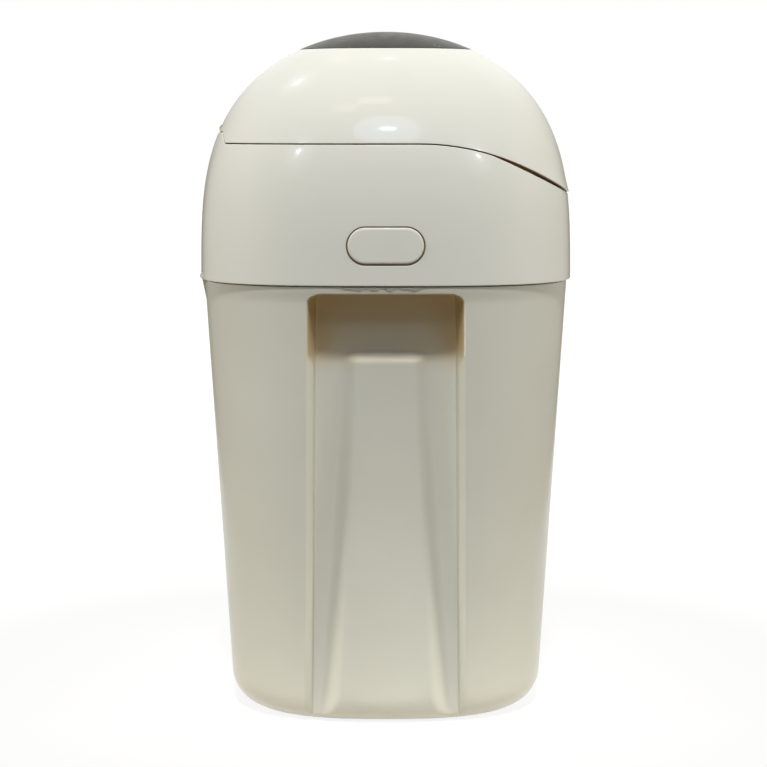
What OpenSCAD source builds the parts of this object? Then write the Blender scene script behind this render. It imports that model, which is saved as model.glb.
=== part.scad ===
// Domed nappy bin. A tall bin body carries a hinged head, the head holds a ring of film and a
// sprung clamp, and a domed lid closes the head. Two side buttons release the head.
// X runs from back to front, Y from right to left and Z up. The origin is on the floor, under
// the middle of the head.

/* [Overall] */
// Height of the seam between bin body and head
bin_h = 358; // [300:0.1:440]
// Height of the head, from that seam to the side seam of the lid
head_h = 111; // [92:1:135]
// Height of the lid, from its side seam to its crown
lid_h = 91; // [75:1:110]
// Depth of the head, back to front
head_d = 306; // [255:1:367]
// Width of the head, side to side
head_w = 250; // [208:1:300]
// Depth of the body at the floor line, before its rounded edge
base_d = 257; // [214:1:308]
// Width of the body at the floor line, before its rounded edge
base_w = 206; // [171:1:248]
// Radius of the rounded edge round the base
base_r = 24; // [12:1:30]
// Wall of the moulded shells
wall = 2.5; // [2:0.1:3.5]
// Step by which the head's skirt stands proud of the body
skirt_step = 3; // [2:0.1:4]
// Gap at the seams between shells
seam_gap = 1; // [0.6:0.1:1.4]

/* [Plan and dome shape] */
// Squareness of the plan at the skirt, where 2 is an ellipse
skirt_power = 2.9; // [2.2:0.1:3.6]
// Squareness of the plan at the base and at the crown
round_power = 2.2; // [2:0.1:2.6]
// Fullness of the dome's shoulders
dome_power = 3.2; // [2.4:0.1:4]
// Half width of the top insert as a share of the dome, as an angle along its curve
insert_angle = 63.5; // [55:0.5:70]

/* [Side grips] */
// Width of the grip channel at its top
grip_w = 125; // [100:1:140]
// Width of the grip channel at the floor line
grip_base_w = 131; // [105:1:145]
// Drop of the grip's top edge below the seam
grip_drop = 7; // [6:0.5:12]
// Depth of the finger pocket at its top
grip_depth = 31; // [24:0.1:38]
// Depth of the channel where it runs out at the base, measured on the centre line
grip_base_depth = 11; // [8:1:13]
// Width of the sloping band along each side of the channel
grip_band = 6.5; // [4:0.5:9]
// Radius of the channel's top corners
grip_r = 7; // [4:0.5:12]
// Drop of the raised tongue below the channel's top edge
tongue_drop = 48; // [40:1:60]
// Width of the tongue at its top
tongue_w = 66; // [50:1:74]
// Width of the tongue at the floor line
tongue_base_w = 106; // [84:1:110]
// Height of the tongue over the channel floor at its top
tongue_rise = 6; // [4:0.5:9]
// Width of the slope round the tongue
tongue_band = 4.5; // [3:0.5:6]

/* [Lid seam and hinge tab] */
// Drop of the lid's front lip below its side seam
lip_drop = 41; // [30:1:46]
// Run over which the seam falls to the lip
lip_run = 123; // [100:1:140]
// Extra opening of the seam near the lip, for a fingertip
lip_slot = 2.2; // [1:0.1:3]
// Depth of the hinge tab at the back of the head
tab_d = 12; // [11:0.5:16]
// Height of the hinge tab over the side seam
tab_h = 9; // [8:0.5:11]

/* [Hinges] */
// Radius of the head's hinge pin
head_pin_r = 1.6; // [1.4:0.1:2]
// Radius of the head's hinge knuckles
head_knuckle_r = 3.6; // [3.4:0.1:4.2]
// Half width of the row of knuckles between body and head
head_hinge_half = 44; // [36:1:46]
// Radius of the lid's hinge pin
lid_pin_r = 1.5; // [1.2:0.1:1.8]
// Radius of the lid's hinge knuckles
lid_knuckle_r = 3.5; // [3:0.1:4]
// Half width of the row of knuckles between head and lid
lid_hinge_half = 28; // [24:0.1:34]
// Radial clearance of a pin in its knuckles
pin_fit = 0.05; // [0.02:0.01:0.08]
// Gap between neighbouring knuckles
knuckle_gap = 0.5; // [0.3:0.1:0.8]

/* [Release buttons] */
// Width of a button
button_w = 60; // [48:1:66]
// Height of a button
button_h = 28.5; // [22:0.5:34]
// Height by which a button stands out of the shell
button_proud = 1.2; // [0.8:0.1:2]
// Travel of a button
button_travel = 4; // [3:0.5:5]
// Gap round a button
button_gap = 0.6; // [0.4:0.1:0.9]
// Width of the hook and of its arm
hook_w = 22; // [16:1:26]

/* [Film cassette and throat] */
// Room kept at each side of the well for the buttons
well_room = 34; // [32:0.1:42]
// Room kept before and behind the well for the clamp's jaws and springs
jaw_end_room = 62; // [60:1:66]
// Width of the cassette's ring of film, from its inner to its outer wall
cassette_band = 26; // [20:1:30]
// Wall of the cassette
cassette_wall = 1.6; // [1.2:0.1:2.2]
// Clearance of the cassette in its well
cassette_fit = 0.6; // [0.4:0.1:1]
// Depth of the deck's surface below the lid's front lip
deck_drop = 4; // [3:0.5:8]
// Thickness of the deck
deck_t = 2.5; // [2:0.1:3.5]

/* [Film clamp] */
// Travel of each jaw
jaw_travel = 40; // [30:1:44]
// Thickness of the jaw plates
jaw_t = 5; // [4:0.5:6]
// Reach of each jaw behind the throat's edge
jaw_cover = 9; // [7:1:12]
// Running clearance round the jaws
jaw_fit = 0.4; // [0.3:0.1:0.6]
// Wall of the clamp housing
clamp_wall = 3; // [2.5:0.5:4]
// Outer radius of a jaw spring
jaw_spring_r = 4; // [3.5:0.1:4.2]
// Wire radius of a jaw spring
jaw_wire_r = 0.7; // [0.5:0.05:0.8]

/* [Feet and fasteners] */
// Radius of a rubber foot
foot_r = 11; // [8:0.5:12]
// Thickness of a rubber foot
foot_t = 3; // [2.5:0.1:4]
// Height by which a foot stands out of the base
foot_proud = 1.5; // [1:0.1:2]
// Thickness of the body's floor
floor_t = 4; // [3.5:0.1:6]
// Radius of a screw's shank
screw_r = 1.6; // [1.4:0.1:2]
// Radius of a screw's head
screw_head_r = 3.6; // [3.2:0.1:4]

/* [Hidden] */

// Facets: points round a dome section, points from a body corner to the grip, and steps in height
ring_n = 48;
corner_n = 6;
body_steps = 4;
edge_steps = 5;
dome_steps = 11;
arc_steps = 3;
round_fn = 64;
// Reach of a cutting solid past what it cuts
past = 60;

// Heights
seam_z = bin_h;
dome_z = seam_z + 2;
lid_seam_z = bin_h + head_h;
crown_z = lid_seam_z + lid_h;
lip_z = lid_seam_z - lip_drop;
deck_z = lip_z - deck_drop;
deck_under_z = deck_z - deck_t;
tab_z = lid_seam_z + tab_h;

// Colours
cream = [0.93, 0.92, 0.87];
ivory = [0.87, 0.86, 0.80];
charcoal = [0.25, 0.25, 0.24];
rubber = [0.16, 0.16, 0.16];
steel = [0.75, 0.76, 0.78];
film_blue = [0.72, 0.80, 0.86];
grey = [0.62, 0.63, 0.64];

function lerp(a, b, t) = a + (b - a) * t;
function bulge(v, power) = sign(v) * pow(abs(v), 2 / power);
function clamp01(t) = min(max(t, 0), 1);

// One plan section: a superellipse of half sizes a and b
function oval(a, b, power, z) = [
    for (i = [0 : ring_n - 1])
        let (t = 360 * i / ring_n)
        [a * bulge(cos(t), power), b * bulge(sin(t), power), z]
];

// Half width of a superellipse of half sizes a and b at the place x
function oval_y(a, b, power, x) = b * pow(max(1 - pow(abs(x) / a, power), 0), 1 / power);

// The body's half sizes and plan power at height z, moved in by inset
function body_share(z) = z / seam_z;
function edge_inset(z, inset) = let (up = z - foot_proud, r = base_r - inset)
    up >= base_r ? inset : base_r - sqrt(max(pow(r, 2) - pow(base_r - up, 2), 0));
function body_a(z, inset) = lerp(base_d / 2, head_d / 2 - skirt_step, body_share(z)) - edge_inset(z, inset);
function body_b(z, inset) = lerp(base_w / 2, head_w / 2 - skirt_step, body_share(z)) - edge_inset(z, inset);
function body_power(z) = lerp(round_power, skirt_power, body_share(z));
function body_face_y(x, z, inset) = oval_y(body_a(z, inset), body_b(z, inset), body_power(z), x);

// The dome at the angle phi along its curve, moved in by inset
function dome_height(inset) = crown_z - inset - dome_z;
function dome_rise(phi, inset) = dome_z + dome_height(inset) * pow(sin(phi), 2 / dome_power);
function dome_scale(z, inset) = sqrt(1 - pow(clamp01((z - dome_z) / dome_height(inset)), dome_power));
function dome_a(z, inset) = (head_d / 2 - inset) * dome_scale(z, inset);
function dome_b(z, inset) = (head_w / 2 - inset) * dome_scale(z, inset);
function dome_plan_power(z) = lerp(skirt_power, round_power, clamp01((z - seam_z) / (crown_z - seam_z)));
function dome_ring(phi, inset) = let (z = dome_rise(phi, inset))
    oval((head_d / 2 - inset) * cos(phi), (head_w / 2 - inset) * cos(phi), dome_plan_power(z), z);
function dome_ring_at(z, inset) = oval(dome_a(z, inset), dome_b(z, inset), dome_plan_power(z), z);
function dome_angle(z) = asin(pow(clamp01((z - dome_z) / dome_height(0)), dome_power / 2));
function dome_plan(z, inset) = [for (p = dome_ring_at(z, inset)) [p[0], p[1]]];

// A closed solid through a list of rings with equal numbers of points. A tube joins its last
// ring to its first, and any other has both ends capped.
module loft(rings, tube = false) {
    n = len(rings[0]);
    last = len(rings) - 1;
    caps = tube ? [] : [[for (i = [0 : n - 1]) i], [for (i = [n - 1 : -1 : 0]) last * n + i]];
    polyhedron(
        points = [for (ring = rings, p = ring) p],
        faces = concat(caps, [
            for (j = [0 : tube ? last : last - 1], i = [0 : n - 1], lower = [true, false])
                let (k = (i + 1) % n, up = (j + 1) % (last + 1) * n)
                lower ? [j * n + i, up + i, up + k] : [j * n + i, up + k, j * n + k]
        ])
    );
}

// Extrudes an outline drawn in the X-Z plane along Y, from y0 to y1
module along_y(y0, y1) {
    translate([0, y1, 0]) rotate([90, 0, 0]) linear_extrude(height = y1 - y0) children();
}

module box(low, high) {
    translate(low) cube(high - low);
}

module at_both_sides() {
    children();
    mirror([0, 1, 0]) children();
}

module at_head_hinge() {
    translate([hinge_x, 0, hinge_z]) rotate([90, 0, 0]) children();
}

module at_lid_hinge() {
    translate([lid_hinge_x, 0, lid_hinge_z]) rotate([90, 0, 0]) children();
}

// Small clearances and details shared by several pieces
foot_bevel = 0.6;
foot_fit = 0.1;
foot_inset_x = 30;
foot_inset_y = 36;
foot_x = base_d / 2 - base_r - foot_inset_x;
foot_y = base_w / 2 - base_r - foot_inset_y;
boss_r = 5;
boss_h = 18;
boss_rib = 26;
arm_h = 12;
lid_arm_h = 9;
lid_arm_back = 0.5;
tab_foot = 7;
screw_l = 12;
screw_head_h = 2.2;
deck_fit = 0.4;
deck_boss_inset_x = 49;
deck_boss_inset_y = 38;
deck_boss_x = head_d / 2 - deck_boss_inset_x;
deck_boss_y = head_w / 2 - deck_boss_inset_y;

// Film clamp, cassette and well, from the seam up
jaw_rise = 1.5;
jaw_room = 5;
clamp_drop = 3;
jaw_z = seam_z + jaw_rise;
jaw_roof_z = jaw_z + jaw_t + jaw_room;
clamp_low_z = seam_z - clamp_drop;
well_under_z = jaw_roof_z + clamp_wall;
well_floor_z = well_under_z + wall;
well_r = min(head_w / 2 - well_room, head_d / 2 - jaw_end_room);
cover_t = 1.8;
cover_lip = 4;
film_slot = 2.5;
pleat_n = 14;
pleat_depth = 1.2;
film_fit = 0.4;
throat_step = 2;
cassette_h = deck_z - well_floor_z - cover_t;
cassette_in_r = well_r - wall - cassette_fit - cassette_band;
throat_r = cassette_in_r - throat_step;
ledge_w = 7;
clamp_side = 12;
clamp_screw_reach = 14;
clamp_half_w = throat_r + clamp_side;
clamp_screw_x = (throat_r + clamp_screw_reach) * sqrt(1 / 2);
spring_rest = 0.3;
peg_fit = 0.3;
jaw_edge_x = 4;
jaw_end_x = throat_r + jaw_cover;
spring_stack = 13.5;
clamp_half_l = jaw_end_x + jaw_travel + spring_stack + clamp_wall;
peg_l = 5;
jaw_spring_side = 22;
jaw_spring_drop = 1.2;
jaw_spring_y = clamp_half_w - jaw_spring_side;
jaw_spring_turns = 6;
jaw_spring_z = jaw_roof_z - jaw_spring_r - jaw_spring_drop;
jaw_rib_inset = 10;
jaw_rib_half = 1;
jaw_rib_h = 1.5;
jaw_rib_y = 24;
jaw_lip_end = 2;
jaw_lip_half = clamp_half_w - clamp_wall - ledge_w - jaw_lip_end;
lip_skin = 1.2;
lip_wrap = 9;
lip_rest = 0.3;
nose_bulge = 0.2;

// Film cutter. The slot's heights are shares of the body's height.
cutter_x = 20;
cutter_rise = 1.5;
cutter_z = clamp_low_z + cutter_rise;
cutter_l = 44;
cutter_h = 12;
cutter_t = 10;
cutter_throat = 17.6;
cutter_mouth = 7;
cutter_slot = [0.45, 0.65];
cutter_mouth_slot = [0.2, 0.85];
blade_l = 12;
blade_w = 6;
blade_t = 0.5;
blade_tilt = 35;
blade_fit = 0.1;

// A wire coil's points to a turn and to a wire's section
coil_n = 8;
wire_n = 6;

// Button: its hook, stem and spring
button_z = (seam_z + deck_under_z) / 2;
button_sink = 1.7;
button_back_y = head_w / 2 - wall - button_sink;
button_flange = 3;
button_root = 0.5;
hook_rest = 0.3;
hook_fit = 0.6;
button_fit = 0.4;
stem_half = 14;
stem_half_h = 8;
button_spring_r = 4.5;
button_wire_r = 0.4;
button_spring_turns = 4;
spring_room = 0.6;
pocket_l = 10;
guide_gap = 4;
guide_half = 22;
guide_peg_l = 4;

// Lid
liner_rise = 5;
plug_rise = 6.5;
plug_lap = 15;
shelf_drop = 6;
liner_z = lid_seam_z + liner_rise;
plug_z = deck_z + plug_rise;
plug_r = throat_r + plug_lap;
insert_z = dome_rise(insert_angle, 0);
shelf_z = insert_z - shelf_drop;
rim_inset = 2.4;
lid_boss_inset_x = 62;
lid_boss_inset_y = 52;
lid_boss_x = head_d / 2 - lid_boss_inset_x;
lid_boss_y = head_w / 2 - lid_boss_inset_y;

// Top insert: the angle by which it clears the lid's rim, where its curve ends, and its crown
insert_fit = 0.4;
insert_end = 84;
insert_steps = 5;
insert_crown = [4, 3];

// Rubber seal under the plug, as half widths and drops
seal_inset = 5;
seal_half = [4, 2, 1];
seal_drop = [2.5, 3.5];
seal_rest = 0.4;

// ---------------------------------------------------------------- body
hinge_x = -(head_d / 2 - head_knuckle_r);
knuckle_sink = 0.4;
hinge_z = seam_z + head_knuckle_r - knuckle_sink;
body_rim_z = seam_z - seam_gap / 2;
skirt_z = seam_z + seam_gap / 2;
// The skirt behind the hinge pin swings down as the head opens, so the rim is lower there
skirt_sweep = norm([head_d / 2 + hinge_x, hinge_z - skirt_z]);
hinge_cut_z = hinge_z - skirt_sweep - seam_gap;
hinge_cut_half = max(oval_y(head_d / 2, head_w / 2, skirt_power, hinge_x), head_hinge_half) + 1;
knuckle_foot_h = 16;
grip_top_z = seam_z - grip_drop;
tongue_top_z = grip_top_z - tongue_drop;
ledge_slope = 0.8;
lip_h = 8;
lip_top_z = body_rim_z + lip_h;
lip_t = 2;
lip_gap = 0.3;
lip_rise = 0.4;
lip_stop = 35;
lip_inset = wall + lip_gap;
lip_foot_z = grip_top_z + lip_inset + lip_t + lip_rise;
lip_back_x = -(head_d / 2 - lip_stop);

// Shares of the knuckle row, from its middle to its end
head_shares = [0.18, 0.7];
knuckle_inner = head_hinge_half * head_shares[0];
knuckle_outer = head_hinge_half * head_shares[1];
body_bands = [[-head_hinge_half, -knuckle_outer], [-knuckle_inner, knuckle_inner],
    [knuckle_outer, head_hinge_half]];
head_bands = [[-knuckle_outer + knuckle_gap, -knuckle_inner - knuckle_gap],
    [knuckle_inner + knuckle_gap, knuckle_outer - knuckle_gap]];

// The catch on the body's lip, which the button's hook meets. It ends below the clamp's roof.
catch_side = 5;
catch_bar = 3.5;
window_side = 1.2;
window_rise = 0.5;
window_h = 5.5;
hook_reach = 1.7;
stem_room = 1.5;
catch_half = hook_w / 2 + catch_side;
window_low = seam_z + window_rise;
window_high = window_low + window_h;
catch_top = window_high + catch_bar;
window_half = hook_w / 2 + window_side;
catch_y = body_b(body_rim_z, lip_inset);
arm_y = catch_y - lip_t - hook_reach;
stem_end_y = well_r + guide_gap + wall + button_travel + stem_room;
guide_out_y = button_back_y - wall / 2 - button_travel - 1;
guide_screw_x = 19;
guide_screw_inset = 6;
guide_screw_y = guide_out_y - guide_screw_inset;

// The grip channel: how far its floor and the tongue's face lie from the middle plane
function grip_floor_y(z) = lerp(base_w / 2 - grip_base_depth,
    body_b(grip_top_z, 0) - grip_depth, z / grip_top_z);
function tongue_face_y(z) = lerp(base_w / 2 + 1, grip_floor_y(tongue_top_z) + tongue_rise,
    z / tongue_top_z);

// Half width at height z of an arch that narrows from half0 at z = 0 to half1 at its rounded top
function arch(half0, half1, top, r, z) = let (over = clamp01((z - top + r) / r))
    lerp(half0, half1, z / top) - r + r * sqrt(1 - pow(over, 2));

// One half of a body section, from the front round the side at +Y. The side follows the grip
// channel and its tongue, which are thickened by the same inset as the wall.
function body_half_ring(z, inset) = let (
        top = grip_top_z + inset,
        open = z <= top,
        mouth = arch(grip_base_w / 2, grip_w / 2, top, grip_r, z) + inset,
        floor_x = mouth - grip_band,
        tongue_top = tongue_top_z - inset,
        foot = arch(tongue_base_w / 2, tongue_w / 2, tongue_top, grip_r, z) - inset,
        crest = foot - tongue_band,
        a = body_a(z, inset),
        b = body_b(z, inset),
        power = body_power(z),
        turn = acos(pow(mouth / a, power / 2)),
        corner = [for (i = [0 : corner_n]) let (t = turn * i / corner_n)
            [a * bulge(cos(t), power), b * bulge(sin(t), power)]],
        floor_y = open ? grip_floor_y(z) - inset : b,
        on_tongue = z <= tongue_top - tongue_band,
        face_y = on_tongue ? tongue_face_y(z) - inset : floor_y,
        side = [[floor_x, floor_y], [foot, floor_y], [crest, face_y], [crest / 2, face_y]],
        front = [for (p = side) [p[0], min(p[1], body_face_y(p[0], z, inset))]]
    )
    concat(corner, front, [[0, min(face_y, b)]],
        [for (i = [len(front) - 1 : -1 : 0]) [-front[i][0], front[i][1]]],
        [for (i = [corner_n : -1 : 1]) [-corner[i][0], corner[i][1]]]);

function body_ring(z, inset) = let (half = body_half_ring(z, inset))
    concat([for (p = half) [p[0], p[1], z]], [for (p = half) [-p[0], -p[1], z]]);

// Heights of the sections from the floor line to just under the rim
function edge_heights(inset) = [for (i = [1 : edge_steps]) foot_proud + base_r
    - (base_r - inset) * cos(90 * i / edge_steps)];
function side_heights(inset) = let (
        first = foot_proud + base_r,
        crest = tongue_top_z - inset - tongue_band,
        top = grip_top_z + inset
    )
    concat(
        [for (i = [1 : body_steps]) lerp(first, crest - grip_r, i / body_steps)],
        [crest, crest + tongue_band],
        [for (i = [0 : arc_steps]) top - grip_r + grip_r * sin(90 * i / arc_steps)],
        [top + ledge_slope]
    );

module body_knuckle(y0, y1) {
    along_y(y0, y1) {
        translate([hinge_x, hinge_z]) circle(r = head_knuckle_r, $fn = round_fn);
        polygon([
            [hinge_x - head_knuckle_r / 2, hinge_z], [hinge_x + head_knuckle_r, hinge_z],
            [hinge_x + head_knuckle_r + 1, seam_z - knuckle_foot_h],
            [hinge_x + wall, seam_z - knuckle_foot_h]
        ]);
    }
}

module bin_body() {
    outside = concat([foot_proud], edge_heights(0), side_heights(0), [body_rim_z]);
    inside = concat([foot_proud + floor_t],
        [for (z = edge_heights(wall)) if (z > foot_proud + floor_t + 1) z], side_heights(wall));
    color(ivory)
    difference() {
        union() {
            difference() {
                loft(concat(
                    [for (z = outside) body_ring(z, 0)],
                    [body_ring(body_rim_z, lip_inset), body_ring(lip_top_z, lip_inset)],
                    [body_ring(lip_top_z, lip_inset + lip_t), body_ring(lip_foot_z, lip_inset + lip_t)],
                    [for (i = [len(inside) - 1 : -1 : 0]) body_ring(inside[i], wall)]
                ));
                // The lip stops short of the hinge
                box([-head_d, -head_w, body_rim_z], [lip_back_x, head_w, lip_top_z + 1]);
                box([-head_d, -hinge_cut_half, hinge_cut_z], [lip_back_x, hinge_cut_half, lip_top_z + 1]);
            }
            at_both_sides()
                box([-catch_half, catch_y - lip_t, lip_foot_z], [catch_half, catch_y, catch_top]);
            for (band = body_bands)
                body_knuckle(band[0], band[1]);
        }
        at_head_hinge() cylinder(r = head_pin_r + pin_fit, h = 2 * head_hinge_half + 2, center = true,
            $fn = round_fn);
        at_both_sides() box([-window_half, catch_y - lip_t - 1, window_low],
            [window_half, catch_y + 1, window_high]);
        at_corners() translate([foot_x, foot_y, 0])
            cylinder(r = foot_r + foot_fit, h = foot_t, $fn = round_fn);
    }
}

module foot(sx, sy) {
    color(rubber)
    translate([sx * foot_x, sy * foot_y, 0]) rotate_extrude($fn = round_fn)
        polygon([[0, 0], [foot_r - foot_bevel, 0], [foot_r, foot_bevel], [foot_r, foot_t], [0, foot_t]]);
}

module head_hinge_pin() {
    color(steel)
    at_head_hinge() cylinder(r = head_pin_r, h = 2 * head_hinge_half, center = true, $fn = round_fn);
}

// ---------------------------------------------------------------- head
tab_x = -(dome_a(lid_seam_z, 0) - tab_d);
tab_lean = tab_h / 3;
tab_sink = 0.5;
lid_pin_out = 0.3;
knuckle_room = 1;
lid_hinge_z = tab_z + lid_knuckle_r - tab_sink;
lid_hinge_x = -(dome_a(lid_hinge_z, 0) - lid_knuckle_r + lid_pin_out);
lid_notch_z = lid_hinge_z + lid_knuckle_r;
lid_notch_side = 4;
lid_notch_front = 3;
lid_shares = [0.2, 0.7];
lid_inner = lid_hinge_half * lid_shares[0];
lid_outer = lid_hinge_half * lid_shares[1];
tab_bands = [[-lid_hinge_half, -lid_outer], [-lid_inner, lid_inner], [lid_outer, lid_hinge_half]];
lid_bands = [[-lid_outer + knuckle_gap, -lid_inner - knuckle_gap],
    [lid_inner + knuckle_gap, lid_outer - knuckle_gap]];

// The seam between head and lid, from the back to the front lip
seam_steps = 10;
slot_start = 0.45;
seam_start_x = dome_a(lip_z, 0) - lip_run;
function slot_share(u) = u < slot_start ? 0 : sin(180 * (u - slot_start) / (1 - slot_start));
function seam_line(rise, slot) = concat(
    [[-head_d, tab_z + rise], [tab_x - tab_lean + rise, tab_z + rise], [tab_x + rise, lid_seam_z + rise]],
    [for (i = [0 : seam_steps]) let (u = i / seam_steps)
        [seam_start_x + lip_run * u, lid_seam_z + rise - lip_drop * pow(u, 2) - slot * slot_share(u)]],
    [[head_d, lip_z + rise]]
);

// Rings of the dome between two angles, and the head's rings from its skirt up
function dome_rings(phi0, phi1, inset, steps) = [for (i = [0 : steps])
    dome_ring(lerp(phi0, phi1, i / steps), inset)];
head_lap = 8;
head_top_angle = dome_angle(tab_z + head_lap);
head_steps = 7;
function head_rings(inset) = concat(
    [oval(head_d / 2 - inset, head_w / 2 - inset, skirt_power, skirt_z)],
    dome_rings(0, head_top_angle, inset, head_steps)
);

// A closed band between an outer and an inner set of rings
module band(outer, inner) {
    loft(concat(outer, [for (i = [len(inner) - 1 : -1 : 0]) inner[i]]), tube = true);
}

module head_region() {
    along_y(-head_w, head_w)
        polygon(concat(seam_line(-seam_gap / 2, lip_slot), [[head_d, 0], [-head_d, 0]]));
}

module head_knuckle(y0, y1) {
    along_y(y0, y1) {
        translate([hinge_x, hinge_z]) circle(r = head_knuckle_r, $fn = round_fn);
        translate([hinge_x - head_knuckle_r / 2, hinge_z])
            square([head_knuckle_r + head_knuckle_r / 2, arm_h]);
    }
}

module tab_knuckle(y0, y1) {
    along_y(y0, y1) {
        translate([lid_hinge_x, lid_hinge_z]) circle(r = lid_knuckle_r, $fn = round_fn);
        translate([lid_hinge_x - lid_knuckle_r + tab_sink, lid_seam_z])
            square([2 * (lid_knuckle_r - tab_sink), lid_hinge_z - lid_seam_z]);
    }
}

// A boss under the deck with a rib out to the wall
module deck_boss() {
    translate([deck_boss_x, deck_boss_y, deck_under_z - boss_h]) {
        cylinder(r = boss_r, h = boss_h, $fn = round_fn);
        rotate([0, 0, atan2(deck_boss_y, deck_boss_x)]) translate([0, -wall / 2, 0])
            cube([boss_rib, wall, boss_h - 1]);
    }
}

module at_corners() {
    for (sx = [0, 1], sy = [0, 1]) mirror([sx, 0, 0]) mirror([0, sy, 0]) children();
}

module button_outline(grow) {
    r = button_h / 2;
    for (s = [-1, 1]) translate([s * (button_w / 2 - r), button_z]) circle(r = r + grow, $fn = round_fn);
    translate([-(button_w / 2 - r), button_z - r - grow]) square([button_w - 2 * r, 2 * (r + grow)]);
}

module head_shell() {
    color(cream)
    difference() {
        union() {
            difference() {
                intersection() {
                    band(head_rings(0), head_rings(wall));
                    head_region();
                }
                // Slots in the skirt for the body's knuckles
                for (band = body_bands)
                    box([-head_d, band[0] - knuckle_gap, 0], [hinge_x + 2 * head_knuckle_r,
                        band[1] + knuckle_gap, hinge_z + head_knuckle_r + knuckle_room]);
                at_both_sides() along_y(0, head_w) button_outline(button_gap);
            }
            intersection() {
                loft(head_rings(wall / 2));
                union() {
                    along_y(-head_w, head_w) translate([-seam_gap / 2, -seam_gap / 2]) polygon([
                        [-head_d, tab_z], [tab_x - tab_lean, tab_z], [tab_x, lid_seam_z],
                        [tab_x, lid_seam_z - tab_foot], [-head_d, lid_seam_z - tab_foot - tab_d]
                    ]);
                    at_corners() deck_boss();
                }
            }
            for (band = head_bands)
                head_knuckle(band[0], band[1]);
            for (band = tab_bands)
                tab_knuckle(band[0], band[1]);
        }
        // Room for the lid's knuckles
        for (band = lid_bands)
            along_y(band[0] - knuckle_gap, band[1] + knuckle_gap)
                translate([lid_hinge_x, lid_hinge_z])
                    circle(r = lid_knuckle_r + knuckle_room, $fn = round_fn);
        at_head_hinge() cylinder(r = head_pin_r + pin_fit, h = 2 * head_hinge_half + 2, center = true,
            $fn = round_fn);
        at_lid_hinge() cylinder(r = lid_pin_r + pin_fit, h = 2 * lid_hinge_half + 2, center = true,
            $fn = round_fn);
        at_corners() translate([deck_boss_x, deck_boss_y, deck_under_z - screw_l])
            cylinder(r = screw_r + pin_fit, h = screw_l + 1, $fn = round_fn);
    }
}

module screw(length) {
    cylinder(r = screw_r, h = length, $fn = round_fn);
    translate([0, 0, length]) cylinder(r = screw_head_r, h = screw_head_h, $fn = round_fn);
}

module deck_screws() {
    color(steel)
    at_corners() translate([deck_boss_x, deck_boss_y, deck_z - screw_l + deck_t + 1])
        screw(screw_l - deck_t - 1);
}

// Deck with a round well for the film cassette and the throat in its floor
module inner_deck() {
    color(grey)
    difference() {
        union() {
            translate([0, 0, deck_under_z]) linear_extrude(height = deck_t)
                polygon(dome_plan(deck_z, wall + deck_fit));
            translate([0, 0, well_under_z]) cylinder(r = well_r, h = deck_z - well_under_z, $fn = round_fn);
        }
        translate([0, 0, well_floor_z]) cylinder(r = well_r - wall, h = past, $fn = round_fn);
        translate([0, 0, well_under_z - 1]) cylinder(r = throat_r, h = past, $fn = round_fn);
        at_corners() translate([deck_boss_x, deck_boss_y, deck_under_z - 1])
            cylinder(r = screw_r + pin_fit, h = deck_t + 2, $fn = round_fn);
        at_corners() translate([clamp_screw_x, clamp_screw_x, well_under_z - 1])
            cylinder(r = screw_r + pin_fit, h = wall + 2, $fn = round_fn);
        at_corners() translate([guide_screw_x, guide_screw_y, deck_under_z - 1])
            cylinder(r = screw_r + pin_fit, h = deck_t + 2, $fn = round_fn);
    }
}

module cassette_tub() {
    color(film_blue)
    translate([0, 0, well_floor_z]) rotate_extrude($fn = round_fn) difference() {
        translate([cassette_in_r, 0]) square([cassette_band, cassette_h]);
        translate([cassette_in_r + cassette_wall, cassette_wall])
            square([cassette_band - 2 * cassette_wall, cassette_h]);
    }
}

// Lid of the cassette, which leaves a slot for the film along the inner wall
module cassette_cover() {
    color(film_blue)
    translate([0, 0, well_floor_z + cassette_h]) rotate_extrude($fn = round_fn) {
        translate([cassette_in_r + cassette_wall + film_slot, 0])
            square([cassette_band - cassette_wall - film_slot, cover_t]);
        translate([cassette_in_r + cassette_wall + film_slot, -cover_lip])
            square([cassette_wall, cover_lip + cover_t]);
    }
}

// Film packed in rings of pleats
module film_pack() {
    low = well_floor_z + cassette_wall + spring_rest;
    high = well_floor_z + cassette_h - cover_lip - 1;
    in_r = cassette_in_r + cassette_wall + film_fit;
    out_r = cassette_in_r + cassette_band - cassette_wall - film_fit;
    pleat = (high - low) / pleat_n;
    color("white")
    rotate_extrude($fn = round_fn) polygon(concat(
        [for (i = [0 : pleat_n]) [in_r, low + i * pleat]],
        [for (i = [2 * pleat_n : -1 : 0]) [out_r - (i % 2) * pleat_depth, low + i * pleat / 2]]
    ));
}

// ---------------------------------------------------------------- film clamp
jaw_peg_r = jaw_spring_r - 2 * jaw_wire_r - peg_fit;

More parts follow.
